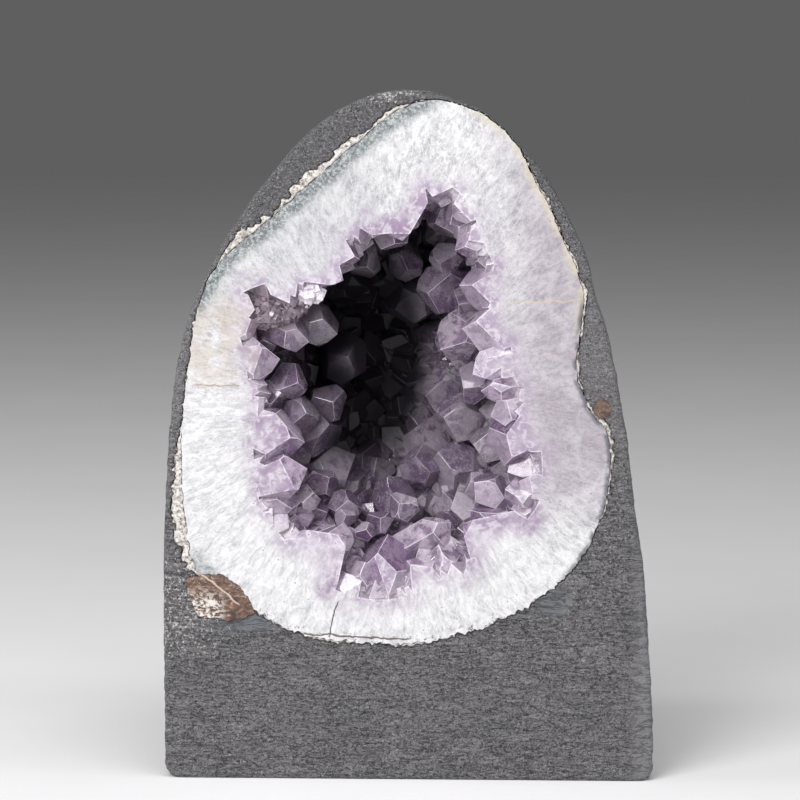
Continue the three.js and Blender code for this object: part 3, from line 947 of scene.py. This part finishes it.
class Finish:
    """A material in the making."""

    def __init__(self, name):
        self.material = bpy.data.materials.new(name)
        self.material.use_nodes = True
        self.tree = self.material.node_tree
        self.tree.nodes.clear()

    def add(self, kind, settings, sockets):
        """Adds a node: its settings first, and then the values or links of its sockets."""
        node = self.tree.nodes.new(kind)
        for name, value in settings.items():
            if name == "stops":
                ramp = node.color_ramp.elements
                while len(ramp) < len(value):
                    ramp.new(1)
                for stop, (place, tone) in zip(ramp, value):
                    stop.position = place
                    stop.color = colour(*tone)
            else:
                setattr(node, name, value)
        for name, value in sockets.items():
            if isinstance(value, Value):
                self.tree.links.new(value.socket, node.inputs[name])
            else:
                node.inputs[name].default_value = value
        return Made(self, node)

    def place(self):
        """The place on the object, in millimetres."""
        where = self.add("ShaderNodeTexCoord", {}, {})["Object"]
        return self.scaled(where, (1000, 1000, 1000))

    def scaled(self, vector, scale):
        return self.add("ShaderNodeVectorMath", {"operation": "MULTIPLY"}, {0: vector, 1: scale})["Vector"]

    def moved(self, vector, offset):
        return self.add("ShaderNodeVectorMath", {"operation": "ADD"}, {0: vector, 1: offset})["Vector"]

    def parts(self, vector):
        made = self.add("ShaderNodeSeparateXYZ", {}, {0: vector})
        return made["X"], made["Y"], made["Z"]

    def joined(self, x, y, z):
        return self.add("ShaderNodeCombineXYZ", {}, {"X": x, "Y": y, "Z": z})["Vector"]

    def stored(self, name):
        return self.add("ShaderNodeAttribute", {"attribute_name": name}, {})["Fac"]

    def noise(self, vector, size, detail=3, rough=0.55, twist=0):
        """Soft noise with features of a size in millimetres."""
        sockets = {"Vector": vector, "Scale": 1 / size, "Detail": detail, "Roughness": rough}
        sockets["Distortion"] = twist
        return self.add("ShaderNodeTexNoise", {}, sockets)["Fac"]

    def cells(self, vector, size, feature="F1"):
        """The distance to the nearest cell's middle, or to its edge."""
        settings = {"feature": feature}
        return self.add("ShaderNodeTexVoronoi", settings, {"Vector": vector, "Scale": 1 / size})["Distance"]

    def mixed(self, share, first, second):
        """A share of the second colour over the first. Each is a link, or as it looks on a screen."""
        low, high = (tone if isinstance(tone, Value) else colour(*tone) for tone in (first, second))
        return self.add("ShaderNodeMix", {"data_type": "RGBA"}, {0: share, 6: low, 7: high})[2]

    def layered(self, tone, *layers):
        """A colour with others laid over it in turn, each given with its share."""
        for share, over in layers:
            tone = self.mixed(share, tone, over)
        return tone

    def ramp(self, value, *stops):
        return self.add("ShaderNodeValToRGB", {"stops": stops}, {"Fac": value})["Color"]

    def bump(self, height, distance):
        return self.add("ShaderNodeBump", {}, {"Height": height, "Distance": distance * MM})["Normal"]

    def surface(self, sockets):
        return self.add("ShaderNodeBsdfPrincipled", {}, sockets)["BSDF"]

    def blend(self, share, first, second):
        return self.add("ShaderNodeMixShader", {}, {0: share, 1: first, 2: second})["Shader"]

    def done(self, surface, volume=None):
        sockets = {"Surface": surface}
        if volume:
            sockets["Volume"] = volume
        self.add("ShaderNodeOutputMaterial", {}, sockets)
        return self.material


def colour(red, green, blue):
    """A colour given as it looks on a screen, 0 to 255."""
    linear = [(v / 255 / 12.92) if v < 11 else ((v / 255 + 0.055) / 1.055) ** 2.4 for v in (red, green, blue)]
    return (*linear, 1)


def off_middle(x, z, middle, reach):
    """The square of how far a place lies from an oval's middle, where the oval's edge is at 1."""
    across, up = (x - middle[0]) / reach[0], (z - middle[1]) / reach[1]
    return across * across + up * up


def oval(x, z, middle, reach):
    """1 in the middle of an oval and 0 round it."""
    return off_middle(x, z, middle, reach).rise(1.3, 0.4)


def cement_material():
    """Dark grey cement with sand in it: wavy ripples with painted shade in their grooves and low parts, pale
    grains and dark pits that are partly the sand's own grains and partly painted highlight on grain tops and
    painted shade in the crevices, smooth smears, an edge worn smooth at the right and painted lighter as a
    highlight, and pale dust at the top and the lower left."""
    finish = Finish("cement")
    place = finish.place()
    x, y, z = finish.parts(place)
    front = y.rise(-40, -46)
    high = z.rise(70, 120) * 0.75
    even = finish.noise(place, 0.75, 4, 0.72)
    flat = finish.noise(finish.scaled(place, (0.8, 0.8, 1.25)), 0.95, 4, 0.76, 0.3)
    streaks = flat * (1 - high) + even * high
    grit = finish.noise(place, 0.42, 3, 0.7)
    patch = finish.noise(place, 14, 3)
    waves = finish.noise(finish.scaled(place, (0.13, 0.13, 0.6)), 1, 4, 0.6, 1.1)
    ripples = waves.close_to(0.5, 0.035, 0.004) * even.rise(0.4, 0.52) * (1 - high)
    smears = oval(x, z, *SMEARS[0]).most(oval(x, z, *SMEARS[1])) * front
    # the right edge: worn smooth, and painted lighter as a highlight where it rounds off
    edge = (x - 62).rise(-2.5, 2) * y.rise(-42, -47) * z.rise(150, 90) * 0.7
    rough = 1 - smears.most(edge) * 0.85
    low_left = x.close_to(-66, 30, 2) * z.close_to(48, 26, 4)
    left = x.rise(0, -60) * z.rise(70, 40) * 0.35
    top = x.close_to(-4, 13, 3) * z.rise(183, 188)
    dusty = low_left.most(top).most(left) * front
    flecks = finish.noise(finish.moved(place, (3, 7, 1)), 0.85, 4, 0.74)
    sparse = flecks.rise(0.66, 0.71) * patch.rise(0.42, 0.56)
    dust = (flecks + dusty * 0.09).rise(0.64, 0.67) * dusty.rise(0.1, 0.7)
    base = finish.layered(
        finish.mixed(patch, (118, 117, 119), (144, 142, 144)),
        (z.rise(120, 160) * front * 0.8, (106, 105, 107)),
        # painted shade in the low parts of the waves
        (waves.rise(0.55, 0.4) * 0.25, (92, 91, 93)),
        # dark crevices and pale grain tops: partly the sand's own grains, partly painted shade and painted
        # highlight
        (streaks.rise(0.48, 0.38) * rough * 0.75, (44, 43, 45)),
        (grit.rise(0.46, 0.34) * rough * 0.8, (30, 29, 31)),
        (streaks.rise(0.54, 0.64) * rough * 0.45, (172, 169, 171)),
        (grit.rise(0.56, 0.68) * rough * 0.65, (204, 201, 202)),
        # painted shade in the ripples' grooves
        (ripples * rough * 0.7, (40, 39, 41)),
        (smears * 0.7, (92, 98, 102)),
        # painted highlight along the rounded right edge
        (edge * 0.6, (124, 124, 127)),
        ((sparse * 0.7).most(dust), (214, 211, 209)),
    )
    height = streaks * 2.2 * rough + waves * 2.4 * rough + grit * 0.5 - ripples * 0.7
    sockets = {
        "Base Color": base,
        "Roughness": 0.88,
        "Specular IOR Level": 0.35,
        "Normal": finish.bump(height, 1.0),
    }
    return finish.done(finish.surface(sockets))


def chalk_material():
    """Crumbly pale mineral, darker down in its crumbs' hollows, with browner patches."""
    finish = Finish("chalk")
    place = finish.place()
    crumb = finish.noise(place, 0.8, 4, 0.68)
    dirt = finish.noise(place, 5, 3).rise(0.54, 0.72) * 0.6
    stops = [(0.3, (58, 54, 50)), (0.42, (150, 145, 138)), (0.52, (206, 201, 195)), (0.7, (230, 226, 222))]
    base = finish.mixed(dirt, finish.ramp(crumb, *stops), (112, 104, 92))
    sockets = {"Base Color": base, "Roughness": 0.95, "Normal": finish.bump(crumb, 0.6)}
    return finish.done(finish.surface(sockets))


def fanned(finish, place, across, along):
    """Coordinates that draw a pattern out along the lines from the rind's middle."""
    x, _, z = finish.parts(place)
    away_x, away_z = x - RIND["centre"][0], z - RIND["centre"][1]
    reach = (away_x * away_x + away_z * away_z) ** 0.5
    return finish.joined(away_x / reach * across, reach * along, away_z / reach * across)


def stone_fibres(finish, place):
    """The fine columns that the quartz grew in."""
    return finish.noise(fanned(finish, place, 27, 0.17), 1, 5, 0.62, 1.3)


def milky_tone(finish, place, fibres):
    """White quartz in fine columns, with grey clouds that are heavier towards the top and the right."""
    x, _, z = finish.parts(place)
    threads = finish.noise(fanned(finish, place, 30, 0.2), 1, 4, 0.55, 1.8).close_to(0.5, 0.03, 0)
    columns = finish.cells(fanned(finish, place, 24, 0.16), 1, "DISTANCE_TO_EDGE").rise(0.07, 0)
    broad = finish.noise(fanned(finish, place, 8, 0.12), 1, 4, 0.6, 0.9)
    mottle = finish.noise(place, 1.3, 4, 0.65, 0.6)
    wisps = finish.noise(place, 2.6, 4, 0.62, 1.6).close_to(0.5, 0.022, 0)
    grey_side = (z.rise(80, 140) * 0.45).most(x.rise(16, 40) * z.rise(62, 86) * 0.95)
    clouds = (broad.rise(0.34, 0.66) * (0.22 + grey_side)).least(0.85)
    right = x.rise(14, 42) * z.rise(64, 90) * (0.4 + broad * 0.6)
    upper_left = z.rise(122, 150) * x.rise(4, -22)
    white = finish.ramp(fibres, (0.32, (164, 165, 169)), (0.46, (188, 188, 190)), (0.6, (206, 205, 206)))
    grey = finish.ramp(fibres, (0.32, (112, 113, 119)), (0.48, (150, 150, 155)), (0.62, (186, 185, 187)))
    return finish.layered(
        white,
        (clouds, grey),
        (mottle.rise(0.5, 0.34) * (0.26 + grey_side * 0.45), (132, 131, 138)),
        (wisps * (0.35 + grey_side * 0.4), (226, 225, 227)),
        (columns * 0.35 * broad.rise(0.4, 0.6), (220, 219, 221)),
        (threads * 0.5, (224, 223, 225)),
        (right * 0.92, (136, 124, 135)),
        (upper_left * 0.3, (140, 141, 146)),
    )


def purple_share(finish, place):
    """How much of the deeper purple shows round the opening."""
    x, _, z = finish.parts(place)
    cloud = finish.noise(place, 4, 3, 0.6, 0.6)
    share = 0
    for middle, reach, strength in PURPLE_ZONES:
        share = (oval(x, z, middle, reach) * strength).most(share)
    return share * (cloud.rise(0.34, 0.58) * 0.85 + 0.15)


def growth_tone(finish, place, fibres, tone):
    """Lilac towards the hollow, purple just inside the crystals' faces, and a thin painted highlight along
    the opening's edge.
    """
    inner = finish.stored("from_hollow")
    past = finish.stored("past_wall")
    cloud = finish.noise(place, 7, 3)
    zones = finish.noise(place, 2.4, 4, 0.6, 1.0)
    near = inner.rise(8, 0.5) * (0.2 + cloud.rise(0.4, 0.6) * 0.8)
    lilac = near * (0.3 + zones.rise(0.38, 0.6) * 0.3) + past.rise(0, 4) * 0.35
    tips = inner.rise(3.2, 0.4) * zones.rise(0.44, 0.58) * cloud.rise(0.34, 0.52)
    deeper = purple_share(finish, place) * inner.rise(9, 1) * (0.5 + zones.rise(0.4, 0.58) * 0.5)
    veils = past.rise(0.5, 3) * zones.rise(0.5, 0.38)
    # painted highlight where the cut edges of the opening catch the light
    painted_rim_highlight = inner.rise(0.5, 0.05) * fibres.rise(0.42, 0.56)
    return finish.layered(
        tone,
        (lilac.least(0.7), (157, 140, 160)),
        (tips * 0.55, (128, 103, 137)),
        (deeper * 0.95, (126, 102, 132)),
        (veils * 0.45, (202, 194, 206)),
        (painted_rim_highlight * 0.6, (222, 216, 224)),
    )


def skin_tone(finish, place, tone):
    """The outside of the rind: a cream stain and a banded grey-green skin at the upper left, a cream edge
    at the upper right with a dark line below it, and dark crumbs along the bottom."""
    x, _, z = finish.parts(place)
    outer = finish.stored("from_edge")
    broken = finish.noise(place, 6, 3)
    stain = x.close_to(-52, 17, 4) * z.close_to(122, 17, 6) * broken.rise(0.34, 0.6)
    above_left = (x * -0.66 + z * 0.75 - 142.5).rise(-11, -5)  # beyond a line that runs along that side
    below_left = x.close_to(-56, 8, 3) * z.close_to(58, 9, 3) * 0.7
    band = (outer + (broken - 0.5) * 2.4).rise(5.2, 2.0) * above_left.most(below_left)
    grains = finish.noise(place, 0.7, 4, 0.7)
    cream_edge = outer.rise(2.6, 0.4) * x.rise(12, 22) * z.rise(116, 132) * broken.rise(0.36, 0.5)
    line = outer.rise(1.5, 0.3) * x.rise(38, 46) * z.rise(136, 130) * broken.rise(0.38, 0.5)
    crumbs = outer.rise(3.4, 0.4) * z.rise(52, 44) * finish.noise(place, 1.5, 4, 0.7).rise(0.56, 0.62)
    grey_green = finish.ramp(grains, (0.38, (56, 64, 67)), (0.5, (108, 116, 118)), (0.62, (168, 172, 170)))
    return finish.layered(
        tone,
        (stain * 0.55, (172, 158, 144)),
        (band * 0.9, grey_green),
        (cream_edge * 0.6, (190, 180, 156)),
        (line * 0.8, (56, 66, 72)),
        (crumbs * 0.85, (66, 58, 52)),
    )


def mark(finish, place, start, end, width):
    """1 along a thin wavering line in the face, from one [x, z] place to another."""
    x, _, z = finish.parts(place)
    length = math.dist(start, end)
    run_x, run_z = (end[0] - start[0]) / length, (end[1] - start[1]) / length
    from_x, from_z = x - start[0], z - start[1]
    along = from_x * run_x + from_z * run_z
    off = from_z * run_x - from_x * run_z + (finish.noise(place, 4, 3) - 0.5) * 2.2
    fade = 0.6
    inside = along.rise(-fade, fade) * along.rise(length + fade, length - fade)
    return off.size().rise(width, width * 0.3) * inside


def sawn_colour(finish, place, fibres):
    """The polished section."""
    tone = milky_tone(finish, place, fibres)
    tone = growth_tone(finish, place, fibres, tone)
    tone = skin_tone(finish, place, tone)
    for start, end, width, strength, stain in FACE_MARKS:
        tone = finish.mixed(mark(finish, place, start, end, width) * strength, tone, stain)
    specks = finish.cells(place, 2.8).rise(0.11, 0.06)
    return finish.mixed(specks * fibres.rise(0.52, 0.56) * 0.7, tone, (90, 82, 90))


def rind_material():
    """Milky quartz, with its colours in the sawn face."""
    finish = Finish("milky_quartz")
    place = finish.place()
    fibres = stone_fibres(finish, place)
    tone = sawn_colour(finish, place, fibres)
    sockets = {
        "Base Color": finish.mixed(finish.stored("sawn"), (190, 184, 194), tone),
        "Roughness": 0.3,
        "IOR": QUARTZ_IOR,
        "Subsurface Weight": 0.12,
        "Subsurface Radius": (1.0, 0.9, 1.0),
        "Subsurface Scale": 0.0012,
        "Normal": finish.bump(fibres, 0.02),
    }
    return finish.done(finish.surface(sockets))


def shadow(x, y, z):
    """How far a place lies in the painted shade: the upper part of the hollow, and anywhere deep in it."""
    middle = (off_middle(x, z, *SHADOW) ** 0.5).rise(1.3, 0.75)
    return (middle * y.rise(FACE + 7, FACE + 21)).most(y.rise(FACE + 34, FACE + 50))


def crystal_body(finish, place, veil, painted_shade):
    """The cloudy colour in the crystals: pale at their feet by the rim, lilac, and greyer and darker further
    in as painted shade, with purple zones, veils and dark spots, some faces painted paler as a sheen and some
    darker as shade, and painted highlights on the bevelled edges near the face. The ledge is a dull pink
    brown, the left of the hollow has painted shade, and its upper part is painted nearly black as shade."""
    x, y, z = finish.parts(place)
    tint = finish.stored("tint")
    past = finish.stored("past_wall")
    facet = finish.stored("facet")
    zoning = finish.noise(place, 4.2, 3, 0.55, 0.8)
    spots = finish.noise(place, 0.75, 3)
    rim = y.rise(FACE + 13, FACE + 2)
    wide, _, tall = LEDGE["half"]
    ledge = oval(x, z, LEDGE["middle"], (wide + 2, tall + 2))
    shaded = x.rise(-12, -24) * z.close_to(110, 26, 10) * y.rise(FACE + 2, FACE + 9)
    return finish.layered(
        finish.mixed(tint, (204, 188, 205), (160, 138, 166)),
        (past.rise(6, 0.5) * 0.85, (213, 203, 212)),
        # painted shade: greyer and darker further into the hollow
        (y.rise(FACE + 3, FACE + 15), finish.mixed(tint, (170, 161, 170), (122, 108, 125))),
        (purple_share(finish, place) * rim * 0.45, (132, 101, 142)),
        (zoning.rise(0.44, 0.6) * (0.7 - rim * past.rise(6, 2) * 0.4), (94, 69, 102)),
        (veil.rise(0.46, 0.36) * 0.4, (214, 208, 218)),
        # painted sheen on some faces and painted shade on others
        (facet.rise(0.76, 0.8) * 0.34, (208, 197, 210)),
        (facet.rise(0.24, 0.2) * 0.35, (86, 62, 94)),
        (spots.rise(0.62, 0.7) * 0.5, (62, 50, 70)),
        # painted highlight on the bevelled edges near the face
        (finish.stored("edge") * y.rise(FACE + 22, FACE) * 0.75, (238, 233, 240)),
        (ledge * 0.8, finish.mixed(tint, (168, 152, 162), (78, 66, 74))),
        # painted shade on the left wall of the hollow
        (shaded * 0.6, (58, 46, 64)),
        # painted shade, nearly black, in the upper part of the hollow and deep in it
        (painted_shade * 0.97, (20, 17, 23)),
    )


def amethyst_material():
    """Clear purple crystal with cloudy veils, dull where shade is painted into the hollow, and the same
    polished section as the rind where it is cut."""
    finish = Finish("amethyst")
    place = finish.place()
    tone = sawn_colour(finish, place, stone_fibres(finish, place))
    sawn = finish.stored("sawn")
    veil = finish.noise(place, 1.9, 5, 0.66, 1.6)
    painted_shade = shadow(*finish.parts(place))
    body = crystal_body(finish, place, veil, painted_shade)
    glass = {"Base Color": (1, 1, 1, 1), "Roughness": 0.03, "IOR": QUARTZ_IOR, "Transmission Weight": 1.0}
    cloudy = {
        "Base Color": finish.mixed(sawn, body, tone),
        "Roughness": 0.09 + sawn * 0.2 + painted_shade * 0.3,
        "IOR": QUARTZ_IOR,
        "Specular IOR Level": 0.9,
        "Subsurface Weight": 0.1,
        "Subsurface Radius": (1.0, 0.85, 1.1),
        "Subsurface Scale": 0.0008,
    }
    dull = {"Base Color": body, "Roughness": 0.5, "Specular IOR Level": 0.12}
    share = sawn.most(painted_shade * 0.95).most(0.6 + veil.rise(0.4, 0.7) * 0.25)
    stone = finish.blend(share, finish.surface(glass), finish.surface(cloudy))
    absorbed = {"Color": colour(190, 150, 203), "Density": 60}
    volume = finish.add("ShaderNodeVolumeAbsorption", {}, absorbed)["Volume"]
    return finish.done(finish.blend(painted_shade * 0.9, stone, finish.surface(dull)), volume)


def jasper_material():
    """Red-brown with darker spots, pale veins and a crumbling pale corner at its lower left."""
    finish = Finish("jasper")
    place = finish.place()
    x, _, z = finish.parts(place)
    tilted = finish.scaled(place, (0.8, 1, 1.5))
    flow = finish.noise(tilted, 2.4, 5, 0.68, 1.2)
    veins = finish.noise(tilted, 5, 4, 0.55, 1.2).close_to(0.5, 0.02, 0.004)
    spots = finish.noise(place, 1.1, 4, 0.7)
    corner = x.close_to(-57, 8, 3) * z.close_to(47, 7, 2)
    dark = (x * 0.6 + z * 0.8 - 13).rise(-2, 5) * spots.rise(0.38, 0.56)
    stops = [(0.32, (44, 34, 30)), (0.45, (78, 57, 47)), (0.57, (110, 82, 67)), (0.72, (150, 126, 108))]
    base = finish.layered(
        finish.ramp(flow, *stops),
        (veins * spots.rise(0.44, 0.54) * 0.6, (196, 178, 160)),
        (spots.rise(0.58, 0.66) * 0.6, (44, 36, 34)),
        (corner * (flow * 0.5 + spots * 0.5).rise(0.44, 0.54), (206, 202, 194)),
        (mark(finish, place, (-57, 57.5), (-46.5, 49), 0.4) * 0.7, (206, 182, 164)),
        (dark * 0.5, (62, 46, 42)),
    )
    sockets = {"Base Color": base, "Roughness": 0.5, "Normal": finish.bump(flow, 0.25)}
    return finish.done(finish.surface(sockets))


def calcite_material():
    """Cloudy white with bright cracks."""
    finish = Finish("calcite")
    place = finish.place()
    cracks = finish.cells(place, 2.2, "DISTANCE_TO_EDGE")
    cloud = finish.noise(place, 1.6, 4, 0.6, 0.5)
    stone = finish.ramp(cloud, (0.3, (150, 136, 156)), (0.5, (206, 196, 208)), (0.7, (240, 236, 240)))
    sockets = {
        "Base Color": finish.mixed(cracks.rise(0.06, 0) * 0.6, stone, (246, 244, 246)),
        "Roughness": 0.22,
        "IOR": 1.6,
        "Subsurface Weight": 0.15,
        "Subsurface Scale": 0.001,
        "Normal": finish.bump(cloud, 0.25),
    }
    return finish.done(finish.surface(sockets))


# ---- the smaller pieces ----------------------------------------------------------------------------


def pebble(name, centre, half_sizes, turn, seed, detail=5):
    """An uneven rounded solid, turned in the plane of the face."""
    uneven = 0.12
    shape = bmesh.new()
    bmesh.ops.create_icosphere(shape, subdivisions=detail, radius=1)
    for vertex in shape.verts:
        grow = 1 - uneven * (0.5 + noise.fractal(vertex.co * 1.7 + Vector((seed, 0, 0)), 0.8, 2, 4))
        vertex.co = vertex.co * grow
    sized = Matrix.Diagonal((*half_sizes, 1))
    placed = Matrix.Translation(centre) @ Matrix.Rotation(math.radians(turn), 4, "Y") @ sized
    bmesh.ops.transform(shape, matrix=placed, verts=shape.verts)
    return object_of(shape, name)


def box_middle(node):
    """The middle of a CAD node's box and half its size, in millimetres."""
    low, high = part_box(node)
    return (low + high) / 2 / MM, (high - low) / 2 / MM


def plain_jasper(distance=0.0):
    """The wedge of jasper that lies in the sawn face, grown by a distance."""
    centre, half = box_middle("jasper_patch")
    loop = evenly(smooth_line(JASPER_EDGE), 0.5)
    loop = grown(loop, np.array(ragged(loop, 1.6, 0.5, 2)) + distance)
    depth = 2 * half.y + distance
    rows = [(loop, -LEAD), (loop, 0)]
    for share in depth_shares(6):
        rows.append((drawn_in(loop, (centre.x, centre.z), rounded(share, 2)), depth * share))
    return loft("jasper", rows)


def plain_fleck(distance=0.0):
    """The chip of jasper at the right of the rim, grown by a distance."""
    centre, half = box_middle("jasper_fleck")
    sizes = (half.x + distance, 2 * half.y + distance, half.z + distance)
    return pebble("fleck", Vector((centre.x, FACE, centre.z)), sizes, 20, 3)


def calcite_cluster():
    """A blocky nub: a handful of tilted rhombs grown together."""
    centre, half = box_middle("calcite_crystal")
    blocks = []
    for _ in range(CALCITE["count"]):
        size = random.uniform(*CALCITE["size"])
        shape = bmesh.new()
        bmesh.ops.create_cube(shape, size=size)
        bmesh.ops.bevel(shape, geom=shape.edges[:], offset=CALCITE["bevel"], segments=1, affect="EDGES")
        leaned = leaning(Vector((0, -1, 0)), 0.8)
        shear = Matrix.Shear("XY", 4, CALCITE["shear"])
        turned = Vector((0, 0, 1)).rotation_difference(leaned).to_matrix().to_4x4()
        offset = Vector([random.gauss(0, 1) for _ in range(3)]).normalized() * random.uniform(0.2, 1) ** 0.4
        spot = Vector(centre) + Vector(offset[k] * (half[k] - size * 0.75) for k in range(3))
        bmesh.ops.transform(shape, matrix=Matrix.Translation(spot) @ turned @ shear, verts=shape.verts)
        blocks.append(object_of(shape, "rhomb"))
    core = pebble("calcite", Vector(centre), tuple(h * CALCITE["core"] for h in half), 0, 4)
    return combined(core, "UNION", blocks)


# ---- putting the geode together --------------------------------------------------------------------


def build_geode():
    """Makes every piece, with room cut in each for the ones that lie in it."""
    rim = rind_loop()
    seam_edge = seam_loop(rim)
    casing = plain_casing()
    with_modifier(casing, "REMESH", mode="VOXEL", voxel_size=CASING["voxel"])
    weathered(casing)
    cut(casing, pocket(grown(seam_edge, POCKET_GAP)))
    cut(casing, plain_jasper(FIT))

    seam = crumbled_seam(grown(rim, FIT), seam_edge)
    cut(seam, plain_jasper(FIT))
    cut(seam, plain_fleck(FIT))

    rind = plain_rind(rim)
    cut(rind, hollow("room", BED))
    cut(rind, plain_jasper(FIT))
    cut(rind, face_slab(*SAWN_AREAS["rind"]))

    druse = plain_druse()
    mark_growth(druse, rind, rim)
    jasper = cut(plain_jasper(), face_slab(*SAWN_AREAS["jasper"]))
    fleck = cut(plain_fleck(), face_slab(*SAWN_AREAS["fleck"]))
    calcite = calcite_cluster()

    jasper_look = jasper_material()
    finished(casing, "casing", "cement_casing", cement_material(), smooth=True)
    finished(seam, "chalky_seam", "chalky_crust", chalk_material(), smooth=True)
    finished(rind, "rind", "quartz_rind", rind_material())
    finished(druse, "druse", "amethyst_crystals", amethyst_material())
    finished(calcite, "calcite", "calcite_crystal", calcite_material())
    finished(jasper, "jasper", "jasper_patch", jasper_look)
    finished(fleck, "jasper_chip", "jasper_fleck", jasper_look)


# ---- floor, light and camera -----------------------------------------------------------------------


def add_floor():
    corners = [(-1, -1), (1, -1), (1, 1), (-1, 1)]
    made = new_object("floor", [(x * FLOOR_HALF, y * FLOOR_HALF, 0) for x, y in corners], [(0, 1, 2, 3)])
    finish = Finish("pale_floor")
    base = finish.mixed(finish.noise(finish.place(), 60, 2), (228, 227, 228), (235, 234, 235))
    made.data.materials.append(finish.done(finish.surface({"Base Color": base, "Roughness": 0.6})))


def aimed(made, place, target):
    """Adds an object to the scene at a place, looking at a target."""
    bpy.context.scene.collection.objects.link(made)
    made.location = place
    made.rotation_euler = (Vector(target) - Vector(place)).to_track_quat("-Z", "Y").to_euler()


def add_studio():
    """A dim even background and soft lights, with colours shown as they are."""
    world = bpy.data.worlds.new("studio")
    bpy.context.scene.world = world
    world.use_nodes = True
    for name, value in WORLD.items():
        world.node_tree.nodes["Background"].inputs[name].default_value = value
    bpy.context.scene.view_settings.view_transform = "Standard"
    for name, place, (wide, tall), power in LIGHTS:
        light = bpy.data.lights.new(name, "AREA")
        light.shape = "RECTANGLE"
        light.size = wide
        light.size_y = tall
        light.energy = power
        aimed(bpy.data.objects.new(name, light), place, LIT_PLACE)


def add_camera():
    azimuth, elevation = math.radians(CAMERA["azimuth"]), math.radians(CAMERA["elevation"])
    level = math.cos(elevation)
    away = Vector((math.sin(azimuth) * level, -math.cos(azimuth) * level, math.sin(elevation)))
    target = Vector((CAMERA["target"][0], cad_low.y, CAMERA["target"][1]))
    lens = bpy.data.cameras.new("camera")
    lens.sensor_width = SENSOR
    lens.lens = SENSOR * CAMERA["distance"] / FRAME_HEIGHT
    made = bpy.data.objects.new("camera", lens)
    aimed(made, target + away * CAMERA["distance"], target)
    bpy.context.scene.camera = made


add_camera()
build_geode()
add_floor()
add_studio()
